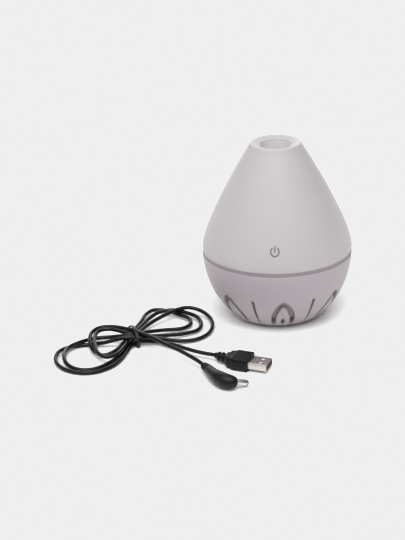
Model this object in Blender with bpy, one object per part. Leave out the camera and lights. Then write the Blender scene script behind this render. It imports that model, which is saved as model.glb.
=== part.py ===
"""Cool mist humidifier: a lotus-cut base bowl with a light ring, fan, ultrasonic disc and water tank,
a domed cover that lifts off, and the unplugged supply lead lying tied up beside it.

Metres, +Z up. The origin is on the floor, on the vertical axis of the bowl; the power mark faces -Y.
Outlines are written in millimetres and go through mm(), so that they read like a drawing.
"""

import math

import bmesh
import bpy
from mathutils import Vector

MM = 0.001

# Driving dimensions, in millimetres
GAP = 0.3                 # clearance that every two touching pieces keep
BODY_RADIUS = 52.05       # widest radius of bowl and cover
SEAM_HEIGHT = 49.0        # top of the seam ring, which the cover rests on
BOWL_DEPTH = 59.3         # height of the ellipse that the bowl's outline follows
BOWL_RIM_HEIGHT = 46.3    # top edge of the base bowl
BOWL_FOOT_HEIGHT = 2.5    # bottom edge of the base bowl
WALL = 2.0                # shell thickness
LEDGE_LOW = 4.5           # the ledge that the bottom cover is screwed to
LEDGE_HIGH = 6.5
LEDGE_INNER_RADIUS = 25.0
RECESS_RADIUS = 31.0      # pocket of the bottom cover
COVER_SHOULDER_RADIUS = 19.5
COVER_SHOULDER_HEIGHT = 120.5
CREST_HEIGHT = 124.3
OUTLET_RADIUS = 10.7
OUTLET_LIP_HEIGHT = 122.9
FOOT_RADIUS = 4.5
FOOT_HEIGHT = 1.9
FOOT_CIRCLE = 24.5
PETALS = 7                # arches in the bowl, with a slit between each two
FIRST_ARCH_ANGLE = -83.3  # degrees, from +X
ARCH_FOOT_HEIGHT = 4.8
ARCH_TOP_HEIGHT = 26.5
PETAL_TOP_HEIGHT = 21.7
FLAME_TOP_HEIGHT = 11.2
ARCH_HALF_ANGLE = 12.0
PETAL_HALF_ANGLE = 7.2
FLAME_HALF_ANGLE = 2.2
SLIT_HALF_ANGLE = 1.35
CUT_DEPTH = 3.3           # how far the petal cuts go in from the outer face
DIFFUSER_WALL = 1.4
DIFFUSER_TOP_HEIGHT = 30.5
TANK_RADIUS = 41.8
TANK_TOP_HEIGHT = 68.0
TANK_FLOOR_HEIGHT = 24.0
TANK_WALL = 1.8
DISC_CENTRE = (-10.0, 0.0)
DISC_RADIUS = 10.0
FAN_CENTRE = (12.0, 0.0)
FAN_SIZE = 25.0
FAN_LOW = 7.0
FAN_HIGH = 15.0
FAN_BORE_RADIUS = 11.7
FAN_BLADES = 7
AIR_TUBE_CENTRE = (20.0, 0.0)
AIR_TUBE_RADIUS = 7.5
AIR_TUBE_TOP = 63.0
BOARD_LOW = 9.0
BOARD_THICKNESS = 1.6
JACK_ANGLE = 103.8        # degrees, from +X, where the supply socket looks out of the bowl
JACK_HEIGHT = 14.6
MARK_HEIGHT = 63.7        # centre of the power mark
MARK_RADIUS = 2.8
MARK_STROKE = 0.75
CORD_DIAMETER = 2.8
CORD_POINTS = 92
LARGE_SEGMENTS = 40
SMALL_SEGMENTS = 16

# The supply lead's route from the USB plug to the barrel plug, in millimetres. It makes three loops on
# the right and four on the left, all bound where they cross, and lies over itself there.
CORD_ROUTE = [
    (-39.4, -82.4, 4.45), (-45.4, -80.2, 4.4), (-51.9, -77.4, 4.5), (-60.3, -72.1, 4.4),
    (-70.5, -64.7, 3.9), (-80.7, -58, 2.4), (-91.1, -58.7, 2.9), (-97, -63.5, 2.4), (-99.3, -72.6, 1.7),
    (-102.1, -84.6, 1.6), (-107.8, -95.5, 1.6), (-117.7, -102.7, 1.6), (-128.5, -102.9, 1.6),
    (-138.4, -97.4, 1.7), (-144.8, -87.2, 2.3), (-144.8, -75.9, 3.1), (-139.2, -66.1, 2),
    (-128.1, -61.7, 1.7), (-115.6, -61.8, 3.4), (-102.9, -62.3, 7), (-90.8, -60.4, 6.6),
    (-78.8, -58.3, 5), (-66.5, -57.6, 2.8), (-54.7, -53.8, 2), (-47.2, -45.7, 2), (-44.4, -34.3, 2.5),
    (-46.6, -22.1, 3.6), (-54.1, -13, 5.2), (-62.5, -11.6, 6.8), (-71.3, -15.6, 6.7), (-80.9, -23.7, 5),
    (-88.7, -33.4, 3.7), (-93.7, -44.2, 3.2), (-97.2, -56.7, 2.3), (-101.4, -66.2, 1.5),
    (-104.1, -78.3, 1.5), (-109.1, -89.5, 1.6), (-118.1, -98, 1.5), (-127.3, -99, 1.7),
    (-135.3, -93.9, 2.4), (-139.7, -83.7, 3.6), (-138.8, -69.6, 3.4), (-131.7, -62.8, 4.3),
    (-123.2, -55.9, 3.7), (-112.5, -54.4, 4), (-99.2, -59.2, 7.6), (-87.4, -55.2, 5.3),
    (-76, -50.8, 3.6), (-64.3, -46.4, 2.7), (-54.3, -39.4, 2.4), (-52.3, -30.5, 2.8),
    (-55.9, -20.4, 3.6), (-64.6, -13.9, 4.1), (-73.6, -12.3, 5.3), (-83.3, -15.2, 4.7),
    (-89.4, -23.6, 3.7), (-93.7, -35.2, 3.1), (-97.4, -46.1, 2.7), (-99.2, -61.7, 4.6),
    (-101.3, -71.8, 4.7), (-105.1, -83.1, 4.8), (-111.2, -86.5, 4.8), (-116.9, -82.4, 5.5),
    (-120.2, -72.5, 6.3), (-122.4, -59.9, 6.9), (-120, -51.2, 7.4), (-113, -49.4, 7.6),
    (-103.8, -52.9, 7.3), (-94.7, -53.7, 6.3), (-87.1, -47.3, 4.7), (-76.8, -40.9, 3.1),
    (-65.1, -36.9, 2.4), (-59.9, -30.3, 2.5), (-61.3, -22, 3), (-69.2, -15.2, 3), (-79.5, -8, 3),
    (-87.4, -8, 3.3), (-92.2, -14.4, 3.2), (-94.7, -26.6, 2.8), (-97.9, -38.5, 2.4), (-101, -50.5, 2.2),
    (-102.7, -62.5, 3.4), (-106.8, -73.7, 3), (-113.6, -78.6, 2.2), (-120.1, -76.1, 3.4),
    (-124.6, -66.1, 5.4), (-125.3, -54.1, 7), (-121, -47.4, 7.7), (-112.8, -46.6, 8.3),
    (-101.8, -50.3, 8.4), (-91.3, -59.3, 9.4), (-81.7, -66.3, 9), (-72.4, -74.6, 8.4),
    (-63.2, -81.5, 7.5), (-54.5, -88.8, 6.1), (-49, -94.1, 5.3), (-45.5, -99, 5),
]

# The lead's plugs: where each one's own axis starts, and the way it points
USB_BASE = Vector((-15.2, -93.0, 4.45))
USB_TURN = math.radians(-18.5)
USB_NECK_LEAN = 0.2         # how far the ribbed neck bends aside for each mm of its length
BARREL_BASE = Vector((-23.5, -122.4, 5.3))
BARREL_TURN = math.radians(27.0)
BARREL_DIP = math.radians(19.0)     # the barrel leans down until its tip meets the floor

# The tie: its centre on the floor, the way it runs in plan, and its closed outline along that way and up
TIE_CENTRE = (-96.0, -56.0)
TIE_RUN = (0.451, -0.892)
TIE_WIDTH = 2.4
TIE_THICKNESS = 0.7
TIE_OUTLINE = [
    (-12.0, 0.45), (7.5, 0.45), (9.2, 3.2), (9.4, 6.0), (7.6, 8.6),
    (4.0, 11.2), (-4.5, 11.6), (-8.8, 8.8), (-13.0, 4.8), (-13.8, 1.8),
]


def clear_scene():
    for thing in list(bpy.data.objects):
        bpy.data.objects.remove(thing, do_unlink=True)


def material(name, colour, roughness, metallic=0.0):
    """One Principled material, made once and shared."""
    made = bpy.data.materials.get(name)
    if made:
        return made
    made = bpy.data.materials.new(name)
    made.use_nodes = True
    shader = made.node_tree.nodes["Principled BSDF"]
    shader.inputs["Base Color"].default_value = (*colour, 1.0)
    shader.inputs["Roughness"].default_value = roughness
    shader.inputs["Metallic"].default_value = metallic
    return made


def white_plastic():
    return material("white plastic", (0.62, 0.59, 0.60), 0.42)


def grey_plastic():
    return material("grey plastic", (0.30, 0.28, 0.29), 0.5)


def milky_plastic():
    return material("milky plastic", (0.34, 0.29, 0.29), 0.4)


def black_plastic():
    return material("black plastic", (0.015, 0.015, 0.016), 0.4)


def black_rubber():
    return material("black rubber", (0.02, 0.02, 0.02), 0.6)


def silicone():
    return material("silicone", (0.75, 0.75, 0.73), 0.55)


def nickel():
    return material("nickel", (0.62, 0.60, 0.57), 0.25, 1.0)


def steel():
    return material("steel", (0.55, 0.55, 0.55), 0.35, 1.0)


def brass():
    return material("brass", (0.62, 0.48, 0.22), 0.35, 1.0)


def board_green():
    return material("board green", (0.03, 0.20, 0.08), 0.45)


def lamp_plastic():
    return material("lamp plastic", (0.85, 0.83, 0.70), 0.3)


def mm(points):
    """Drawing points in metres."""
    return [tuple(value * MM for value in point) for point in points]


def finish(name, shape, finish_material, smooth=True):
    """A bmesh made into a named object with outward faces."""
    bmesh.ops.remove_doubles(shape, verts=shape.verts, dist=1e-7)
    bmesh.ops.recalc_face_normals(shape, faces=shape.faces)
    mesh = bpy.data.meshes.new(name)
    shape.to_mesh(mesh)
    shape.free()
    thing = bpy.data.objects.new(name, mesh)
    bpy.context.collection.objects.link(thing)
    mesh.materials.append(finish_material)
    if smooth:
        mesh.shade_smooth()
        mesh.set_sharp_from_angle(angle=math.radians(35))
    return thing


def turned(outline, centre=(0.0, 0.0), segments=LARGE_SEGMENTS):
    """A closed (radius, height) outline in mm, spun about the vertical axis through centre."""
    shape = bmesh.new()
    corners = [shape.verts.new((radius, 0.0, height)) for radius, height in mm(outline)]
    edges = []
    for start, end in zip(corners, corners[1:] + corners[:1]):
        on_axis = start.co.x == 0.0 and end.co.x == 0.0
        if not on_axis:
            edges.append(shape.edges.new((start, end)))
    bmesh.ops.spin(
        shape, geom=corners + edges, axis=(0.0, 0.0, 1.0), cent=(0.0, 0.0, 0.0),
        angle=2.0 * math.pi, steps=segments, use_merge=True,
    )
    bmesh.ops.remove_doubles(shape, verts=shape.verts, dist=1e-7)
    bmesh.ops.translate(shape, verts=shape.verts, vec=(centre[0] * MM, centre[1] * MM, 0.0))
    return shape


def turned_piece(name, outline, finish_material, centre=(0.0, 0.0), segments=LARGE_SEGMENTS):
    return finish(name, turned(outline, centre, segments), finish_material)


def slab(outline, low, high):
    """A flat (x, y) outline in mm, raised from low to high."""
    shape = bmesh.new()
    face = shape.faces.new([shape.verts.new((x, y, low * MM)) for x, y in mm(outline)])
    raised = bmesh.ops.extrude_face_region(shape, geom=[face])
    moved = [part for part in raised["geom"] if isinstance(part, bmesh.types.BMVert)]
    bmesh.ops.translate(shape, verts=moved, vec=(0.0, 0.0, (high - low) * MM))
    return shape


def rectangle(width, depth, centre=(0.0, 0.0)):
    x, y = centre
    return [
        (x - width / 2, y - depth / 2), (x + width / 2, y - depth / 2),
        (x + width / 2, y + depth / 2), (x - width / 2, y + depth / 2),
    ]


def rounded_section(width, height, corner, steps=3):
    """A rounded rectangle as (across, up) points, for lofting."""
    points = []
    for turn, (side, up) in enumerate(((1, 1), (-1, 1), (-1, -1), (1, -1))):
        for step in range(steps + 1):
            angle = math.radians(90.0 * turn + 90.0 * step / steps)
            across = side * (width / 2 - corner) + corner * math.cos(angle)
            raised = up * (height / 2 - corner) + corner * math.sin(angle)
            points.append((across, raised))
    return points


def circle(radius, segments=SMALL_SEGMENTS, centre=(0.0, 0.0)):
    return [
        (
            centre[0] + radius * math.cos(2 * math.pi * step / segments),
            centre[1] + radius * math.sin(2 * math.pi * step / segments),
        )
        for step in range(segments)
    ]


def lofted(stations):
    """Sections joined end to end; each station is (centre, direction, section) in mm."""
    shape = bmesh.new()
    rings = []
    for centre, direction, section in stations:
        forward = Vector(direction).normalized()
        across = Vector((0.0, 0.0, 1.0)).cross(forward).normalized()
        up = forward.cross(across)
        ring = [
            shape.verts.new((Vector(centre) + across * side + up * raised) * MM)
            for side, raised in section
        ]
        rings.append(ring)
    for ring, following in zip(rings, rings[1:]):
        for index in range(len(ring)):
            after = (index + 1) % len(ring)
            shape.faces.new((ring[index], ring[after], following[after], following[index]))
    shape.faces.new(list(reversed(rings[0])))
    shape.faces.new(rings[-1])
    return shape


def cut(piece, cutter_shape, name, operation="DIFFERENCE"):
    """A Boolean that stays on the piece, with its cutter hidden from the render."""
    cutter = finish(name, cutter_shape, white_plastic(), smooth=False)
    cutter.hide_render = True
    cutter.display_type = "WIRE"
    boolean = piece.modifiers.new(name, "BOOLEAN")
    boolean.operation = operation
    boolean.solver = "EXACT"
    boolean.object = cutter
    return cutter


def bowl_radius(height):
    """The bowl's outer radius, on an ellipse whose widest point is the seam."""
    down = (SEAM_HEIGHT - height) / BOWL_DEPTH
    return BODY_RADIUS * math.sqrt(1.0 - down * down)


def bowl_inside(height, inset):
    """The point a given distance inside the bowl's outer face, along the face's own normal."""
    radius = bowl_radius(height)
    down = (SEAM_HEIGHT - height) / BOWL_DEPTH
    normal = Vector((radius / BODY_RADIUS**2, -down / BOWL_DEPTH)).normalized()
    return (radius - normal.x * inset, height - normal.y * inset)


def bowl_inner_radius(height, inset):
    """The radius of the offset face at a height, found by stepping down the outer face."""
    source = height
    for _ in range(12):
        source += height - bowl_inside(source, inset)[1]
    return bowl_inside(source, inset)[0]


def spread(low, high, count):
    return [low + (high - low) * step / (count - 1) for step in range(count)]


def arch_half_angle(height, widest, top, spring=8.0):
    """Half the angle of a pointed arch at a height: straight below its spring, closing at its top."""
    if height <= spring:
        return widest
    risen = (height - spring) / (top - spring)
    return widest * max(0.0, 1.0 - risen**1.6) ** 0.62


def slit_half_angle(height):
    """A slit widens upward and closes in a round top."""
    below_top = ARCH_TOP_HEIGHT - height
    rising = 0.55 + 0.45 * (height - ARCH_FOOT_HEIGHT) / (ARCH_TOP_HEIGHT - ARCH_FOOT_HEIGHT)
    return SLIT_HALF_ANGLE * rising * min(1.0, math.sqrt(max(0.0, below_top) / 1.6))


def flame_half_angle(height):
    """The small flame in a petal: broad in its lower half and pointed above."""
    risen = (height - ARCH_FOOT_HEIGHT) / (FLAME_TOP_HEIGHT - ARCH_FOOT_HEIGHT)
    belly = 0.5 + 0.5 * math.sin(math.pi * min(risen, 0.5))
    return FLAME_HALF_ANGLE * belly * min(1.0, 2.2 * (1.0 - risen))


def petal_cutter_strip(shape, centre_angle, stations):
    """A strip through the bowl's wall; each station is two (angle, height) points across it."""
    rings = []
    for station in stations:
        ring = []
        for (angle, height), outside in ((station[0], 1), (station[1], 1), (station[1], 0), (station[0], 0)):
            radius = bowl_radius(height) + (1.0 if outside else -CUT_DEPTH)
            turn = math.radians(centre_angle + angle)
            ring.append(shape.verts.new(Vector((radius * math.cos(turn), radius * math.sin(turn), height)) * MM))
        rings.append(ring)
    for ring, following in zip(rings, rings[1:]):
        for index in range(4):
            after = (index + 1) % 4
            shape.faces.new((ring[index], ring[after], following[after], following[index]))
    shape.faces.new(list(reversed(rings[0])))
    shape.faces.new(rings[-1])


def petal_cutters():
    """Every arch, flame and slit of the lotus pattern, as one cutter of separate strips."""
    shape = bmesh.new()
    legs = 5
    for petal in range(PETALS):
        angle = FIRST_ARCH_ANGLE + petal * 360.0 / PETALS
        arch = []
        for step in range(2 * legs + 1):
            side = -1 if step <= legs else 1
            rise = math.sin(math.radians(90.0 * (step if step <= legs else 2 * legs - step) / legs))
            outer = ARCH_FOOT_HEIGHT + (ARCH_TOP_HEIGHT - ARCH_FOOT_HEIGHT) * rise
            inner = ARCH_FOOT_HEIGHT + (PETAL_TOP_HEIGHT - ARCH_FOOT_HEIGHT) * rise
            arch.append((
                (side * arch_half_angle(outer, ARCH_HALF_ANGLE, ARCH_TOP_HEIGHT), outer),
                (side * arch_half_angle(inner, PETAL_HALF_ANGLE, PETAL_TOP_HEIGHT), inner),
            ))
        petal_cutter_strip(shape, angle, arch)
        flame = [
            ((-flame_half_angle(height), height), (flame_half_angle(height), height))
            for height in spread(ARCH_FOOT_HEIGHT, FLAME_TOP_HEIGHT - 0.3, 4)
        ]
        petal_cutter_strip(shape, angle, flame)
        slit = [
            ((-slit_half_angle(height), height), (slit_half_angle(height), height))
            for height in spread(ARCH_FOOT_HEIGHT, ARCH_TOP_HEIGHT - 0.15, 5)
        ]
        petal_cutter_strip(shape, angle + 180.0 / PETALS, slit)
    return shape


def radial_rod(radius, inner, outer, height, angle, segments=SMALL_SEGMENTS):
    """A round rod along a radius of the bowl, between two distances from the axis."""
    turn = math.radians(angle)
    forward = (math.cos(turn), math.sin(turn), 0.0)
    ends = [(forward[0] * reach, forward[1] * reach, height) for reach in (inner, outer)]
    section = circle(radius, segments)
    return lofted([(ends[0], forward, section), (ends[1], forward, section)])


def base_shell():
    outer = [(bowl_radius(height), height) for height in spread(BOWL_FOOT_HEIGHT, BOWL_RIM_HEIGHT, 9)]
    inner = [
        (bowl_inner_radius(height, WALL), height)
        for height in reversed(spread(LEDGE_HIGH, BOWL_RIM_HEIGHT, 7))
    ]
    ledge = [
        (LEDGE_INNER_RADIUS, LEDGE_HIGH), (LEDGE_INNER_RADIUS, LEDGE_LOW),
        (RECESS_RADIUS, LEDGE_LOW), (RECESS_RADIUS, BOWL_FOOT_HEIGHT),
    ]
    piece = turned_piece("base_shell", outer + inner + ledge, white_plastic())
    cut(piece, petal_cutters(), "petal cuts")
    cut(piece, radial_rod(3.5, 34.0, 50.0, JACK_HEIGHT, JACK_ANGLE), "socket hole")
    for index in range(4):
        cut(piece, screw_hole(index, 1.7), f"ledge hole {index}")


def light_diffuser():
    clearance = WALL + GAP
    low = LEDGE_HIGH + GAP
    outer = [(bowl_inner_radius(height, clearance), height) for height in spread(low, DIFFUSER_TOP_HEIGHT, 5)]
    inner = [
        (bowl_inner_radius(height, clearance + DIFFUSER_WALL), height)
        for height in reversed(spread(low, DIFFUSER_TOP_HEIGHT, 5))
    ]
    piece = turned_piece("light_diffuser", outer + inner, milky_plastic())
    cut(piece, radial_rod(4.0, 28.0, 50.0, JACK_HEIGHT, JACK_ANGLE), "diffuser socket hole")


def seam_ring():
    low = BOWL_RIM_HEIGHT + GAP
    outline = [
        (51.3, low), (51.3, SEAM_HEIGHT), (46.3, SEAM_HEIGHT), (46.3, 47.5), (43.8, 47.5),
        (43.8, SEAM_HEIGHT), (43.0, SEAM_HEIGHT), (43.0, low),
    ]
    turned_piece("seam_ring", outline, grey_plastic())


def screw_place(index):
    angle = math.radians(11.0 + 90.0 * index)
    return (27.6 * math.cos(angle), 27.6 * math.sin(angle))


def screw_hole(index, radius):
    return slab(circle(radius, 12, screw_place(index)), 0.0, LEDGE_HIGH + 1.0)


def foot_place(index):
    angle = math.radians(45.0 + 90.0 * index)
    return (FOOT_CIRCLE * math.cos(angle), FOOT_CIRCLE * math.sin(angle))


def bottom_cover():
    low = FOOT_HEIGHT + GAP
    high = LEDGE_LOW - GAP
    outline = [(0.0, low), (RECESS_RADIUS - GAP, low), (RECESS_RADIUS - GAP, high), (0.0, high)]
    piece = turned_piece("bottom_cover", outline, white_plastic())
    for index in range(5):
        y = (index - 2) * 4.2
        half = math.sqrt(11.0**2 - y * y)
        slot = slab(rectangle(2 * half, 2.0, (FAN_CENTRE[0], y)), 0.0, 8.0)
        cut(piece, slot, f"intake slot {index}")
    for index in range(4):
        cut(piece, screw_hole(index, 1.7), f"cover hole {index}")
    for index, place in enumerate(board_screw_places()):
        post = slab(circle(2.6, 16, place), high - 0.6, BOARD_LOW - GAP)
        cut(piece, post, f"board post {index}", "UNION")
    for index, place in enumerate(board_screw_places()):
        cut(piece, slab(circle(1.0, 12, place), high + 0.5, BOARD_LOW + 1.0), f"post hole {index}")


def feet():
    for index in range(4):
        x, y = foot_place(index)
        outline = [
            (0.0, 0.0), (FOOT_RADIUS - 0.5, 0.0), (FOOT_RADIUS, 0.5), (FOOT_RADIUS, FOOT_HEIGHT),
            (0.0, FOOT_HEIGHT),
        ]
        turned_piece(f"foot_{index + 1}", outline, black_rubber(), (x, y), SMALL_SEGMENTS)


def pan_screw(name, place, head_low, head_high, shank_low, shank_high, head_radius=2.6, shank_radius=1.2):
    """A pan-head screw standing on its axis; the shank may leave its head up or down."""
    if shank_high > head_high:
        outline = [
            (0.0, head_low), (head_radius - 0.5, head_low), (head_radius, head_low + 0.5),
            (head_radius, head_high), (shank_radius, head_high), (shank_radius, shank_high), (0.0, shank_high),
        ]
    else:
        outline = [
            (0.0, shank_low), (shank_radius, shank_low), (shank_radius, head_low), (head_radius, head_low),
            (head_radius, head_high - 0.4), (head_radius - 0.5, head_high), (0.0, head_high),
        ]
    turned_piece(name, outline, steel(), place, 10)


def base_screws():
    for index in range(4):
        under = FOOT_HEIGHT + GAP
        pan_screw(f"base_screw_{index + 1}", screw_place(index), 0.5, under - GAP, 0.0, LEDGE_HIGH - 0.2)


def board_screw_places():
    return [(-18.0, -12.0), (-18.0, 12.0)]


def control_board():
    outline = [(-27.0, -18.0), (-3.0, -18.0), (-3.0, 18.0), (-5.0, 24.5), (-18.0, 24.5), (-27.0, 18.0)]
    high = BOARD_LOW + BOARD_THICKNESS
    piece = finish("control_board", slab(outline, BOARD_LOW, high), board_green(), smooth=False)
    for index, place in enumerate(board_screw_places()):
        cut(piece, slab(circle(1.3, 12, place), BOARD_LOW - 1.0, high + 1.0), f"board hole {index}")
        pan_screw(
            f"board_screw_{index + 1}", place, high + GAP, high + 1.8, BOARD_LOW - 3.5, high,
            head_radius=2.2, shank_radius=0.7,
        )


def board_components():
    top = BOARD_LOW + BOARD_THICKNESS + GAP
    chip = slab(rectangle(5.0, 6.0, (-12.0, -6.0)), top, top + 1.6)
    finish("driver_chip", chip, black_plastic(), smooth=False)
    turned_piece(
        "boost_coil", [(0.0, top), (4.0, top), (4.0, top + 4.5), (0.0, top + 4.5)], black_plastic(),
        (-19.0, -3.0), SMALL_SEGMENTS,
    )
    turned_piece(
        "smoothing_capacitor", [(0.0, top), (2.5, top), (2.5, top + 5.5), (0.0, top + 5.5)], steel(),
        (-9.0, -13.0), 16,
    )
    lamp = [(0.0, top), (1.5, top), (1.5, top + 2.4), (1.1, top + 3.3), (0.0, top + 3.8)]
    for index, place in enumerate(((-24.5, 13.5), (-25.0, 4.5), (-25.0, -9.5), (-22.0, -15.5))):
        turned_piece(f"mood_lamp_{index + 1}", lamp, lamp_plastic(), place, 12)


def supply_socket():
    """A 3.5 mm barrel socket: a block on the board with a nose that looks out through the bowl."""
    turn = math.radians(JACK_ANGLE)
    forward = (math.cos(turn), math.sin(turn), 0.0)
    stations = []
    for reach, section in (
        (21.0, rounded_section(8.0, 7.0, 0.6, 2)), (29.5, rounded_section(8.0, 7.0, 0.6, 2)),
        (30.0, rounded_section(6.2, 6.2, 3.05, 2)), (41.0, rounded_section(6.2, 6.2, 3.05, 2)),
    ):
        stations.append(((forward[0] * reach, forward[1] * reach, JACK_HEIGHT), forward, section))
    piece = finish("supply_socket", lofted(stations), black_plastic())
    cut(piece, radial_rod(1.95, 32.0, 45.0, JACK_HEIGHT, JACK_ANGLE, 16), "socket bore")
    cut(piece, radial_rod(0.5, 31.0, 40.0, JACK_HEIGHT, JACK_ANGLE, 8), "socket pin", "UNION")


def fan():
    x, y = FAN_CENTRE
    housing = finish(
        "fan_housing", slab(rectangle(FAN_SIZE, FAN_SIZE, FAN_CENTRE), FAN_LOW, FAN_HIGH), black_plastic(),
        smooth=False,
    )
    bore = slab(circle(FAN_BORE_RADIUS, 32, FAN_CENTRE), FAN_LOW - 1.0, FAN_HIGH + 1.0)
    cut(housing, bore, "fan bore")
    hub = slab(circle(4.4, SMALL_SEGMENTS, FAN_CENTRE), FAN_LOW, FAN_LOW + 1.4)
    cut(housing, hub, "fan hub", "UNION")
    for index in range(3):
        angle = math.radians(90.0 + 120.0 * index)
        outward = Vector((math.cos(angle), math.sin(angle)))
        aside = Vector((-outward.y, outward.x))
        start, end = outward * 3.6, outward * (FAN_BORE_RADIUS + 0.5)
        arm = [start - aside, end - aside, end + aside, start + aside]
        arm = [(x + point.x, y + point.y) for point in arm]
        cut(housing, slab(arm, FAN_LOW + 0.05, FAN_LOW + 1.35), f"fan arm {index}", "UNION")
    cut(housing, slab(circle(1.9, 16, FAN_CENTRE), FAN_LOW - 1.0, FAN_LOW + 3.0), "bearing seat")
    turned_piece(
        "fan_bearing",
        [(0.85, FAN_LOW), (1.6, FAN_LOW), (1.6, FAN_LOW + 3.0), (0.85, FAN_LOW + 3.0)],
        brass(), FAN_CENTRE, 16,
    )
    turned_piece(
        "fan_shaft",
        [(0.0, FAN_LOW + 0.4), (0.55, FAN_LOW + 0.4), (0.55, FAN_LOW + 6.0), (0.0, FAN_LOW + 6.0)],
        steel(), FAN_CENTRE, 12,
    )
    rotor_top = FAN_HIGH - 0.6
    outline = [
        (0.85, FAN_LOW + 3.4), (1.9, FAN_LOW + 3.4), (1.9, rotor_top - 1.0), (3.9, rotor_top - 1.0),
        (3.9, FAN_LOW + 1.8), (4.9, FAN_LOW + 1.8), (4.9, rotor_top), (0.0, rotor_top),
        (0.0, rotor_top - 1.0), (0.85, rotor_top - 1.0),
    ]
    rotor = turned_piece("fan_rotor", outline, black_plastic(), FAN_CENTRE, SMALL_SEGMENTS)
    for index in range(FAN_BLADES):
        cut(rotor, fan_blade(360.0 * index / FAN_BLADES), f"blade {index}", "UNION")


def fan_blade(angle):
    """One pitched blade from inside the rotor's rim out to a running clearance in the bore."""
    shape = bmesh.new()
    rings = []
    for radius, pitch in ((4.4, 40.0), (7.8, 32.0), (11.1, 26.0)):
        reach = radius * 0.42
        lean = math.radians(pitch)
        ring = []
        for chord, thick in ((-1, -1), (1, -1), (1, 1), (-1, 1)):
            side = chord * reach * math.cos(lean) - thick * 0.4 * math.sin(lean)
            raised = chord * reach * math.sin(lean) + thick * 0.4 * math.cos(lean)
            raised = max(-2.4, min(2.4, raised))
            turn = math.radians(angle) + side / radius
            ring.append(shape.verts.new(Vector((
                FAN_CENTRE[0] + radius * math.cos(turn),
                FAN_CENTRE[1] + radius * math.sin(turn),
                (FAN_LOW + FAN_HIGH) / 2 + 0.6 + raised,
            )) * MM))
        rings.append(ring)
    for ring, following in zip(rings, rings[1:]):
        for index in range(4):
            after = (index + 1) % 4
            shape.faces.new((ring[index], ring[after], following[after], following[index]))
    shape.faces.new(list(reversed(rings[0])))
    shape.faces.new(rings[-1])
    return shape


def air_duct():
    """The funnel from the fan up to the tank's air tube, with a wall 1.2 mm thick."""
    low = FAN_HIGH + GAP
    high = TANK_FLOOR_HEIGHT - GAP
    wall = 1.2
    levels = spread(0.0, 1.0, 5)
    shape = bmesh.new()
    rings = []
    for inset, order in ((0.0, levels), (wall, list(reversed(levels)))):
        for level in order:
            eased = level * level * (3.0 - 2.0 * level)
            radius = 12.2 + (AIR_TUBE_RADIUS - 12.2) * eased - inset
            x = FAN_CENTRE[0] + (AIR_TUBE_CENTRE[0] - FAN_CENTRE[0]) * eased
            height = low + (high - low) * level
            rings.append([
                shape.verts.new(Vector((px, py, height)) * MM) for px, py in circle(radius, SMALL_SEGMENTS, (x, 0.0))
            ])
    for ring, following in zip(rings, rings[1:] + rings[:1]):
        for index in range(SMALL_SEGMENTS):
            after = (index + 1) % SMALL_SEGMENTS
            shape.faces.new((ring[index], ring[after], following[after], following[index]))
    finish("air_duct", shape, grey_plastic())


def water_tank():
    """The tank hangs by its flange on the seam ring; an air tube stands in it beside the disc's well."""
    outer = [
        (0.0, TANK_FLOOR_HEIGHT), (32.0, TANK_FLOOR_HEIGHT), (35.5, 25.6), (37.5, 29.0), (40.6, 40.0),
        (TANK_RADIUS, 49.4), (47.2, 49.4), (47.2, 50.8), (TANK_RADIUS, 51.6), (TANK_RADIUS, TANK_TOP_HEIGHT),
    ]
    inner = [
        (TANK_RADIUS - TANK_WALL, TANK_TOP_HEIGHT), (TANK_RADIUS - TANK_WALL, 50.0), (38.8, 40.0),
        (35.6, 29.6), (33.8, 27.0), (31.2, 26.0), (0.0, 26.0),
    ]
    piece = turned_piece("water_tank", outer + inner, milky_plastic())
    tube = slab(circle(AIR_TUBE_RADIUS, SMALL_SEGMENTS, AIR_TUBE_CENTRE), TANK_FLOOR_HEIGHT + 0.8, AIR_TUBE_TOP)
    cut(piece, tube, "air tube", "UNION")
    bore = slab(circle(AIR_TUBE_RADIUS - 1.2, SMALL_SEGMENTS, AIR_TUBE_CENTRE), 20.0, AIR_TUBE_TOP + 1.0)
    cut(piece, bore, "air tube bore")
    cut(piece, slab(circle(7.5, SMALL_SEGMENTS, DISC_CENTRE), 20.0, 30.0), "disc opening")


def mist_maker():
    """The ultrasonic disc in its silicone seal, held under the tank floor by a screwed retainer."""
    under = TANK_FLOOR_HEIGHT - GAP
    seal_low = 19.9
    seal = [
        (7.5, seal_low), (DISC_RADIUS + 1.6, seal_low), (DISC_RADIUS + 1.6, under), (7.5, under),
        (7.5, 22.7), (DISC_RADIUS + 0.3, 22.7), (DISC_RADIUS + 0.3, 21.4), (7.5, 21.4),
    ]
    turned_piece("disc_seal", seal, silicone(), DISC_CENTRE, 20)
    disc = [(0.0, 21.7), (DISC_RADIUS, 21.7), (DISC_RADIUS, 22.4), (0.0, 22.4)]
    turned_piece("ultrasonic_disc", disc, brass(), DISC_CENTRE, 20)
    plate_high = seal_low - GAP
    plate_low = plate_high - 1.4
    plate = [(6.5, plate_low), (12.8, plate_low), (12.8, plate_high), (6.5, plate_high)]
    retainer = turned_piece("disc_retainer", plate, steel(), DISC_CENTRE, 20)
    for index, side in enumerate((-1, 1)):
        place = (DISC_CENTRE[0], DISC_CENTRE[1] + side * 15.6)
        ear = slab(circle(3.2, 16, place), plate_low + 0.02, plate_high - 0.02)
        bridge = slab(rectangle(4.0, 5.0, (place[0], place[1] - side * 3.0)), plate_low + 0.04, plate_high - 0.04)
        cut(retainer, ear, f"ear {index}", "UNION")
        cut(retainer, bridge, f"bridge {index}", "UNION")
        cut(retainer, slab(circle(1.4, 12, place), plate_low - 1.0, plate_high + 1.0), f"ear hole {index}")
        pan_screw(
            f"retainer_screw_{index + 1}", place, plate_low - 1.7, plate_low - GAP, 0.0, under - GAP,
            head_radius=2.2, shank_radius=1.0,
        )


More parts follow.
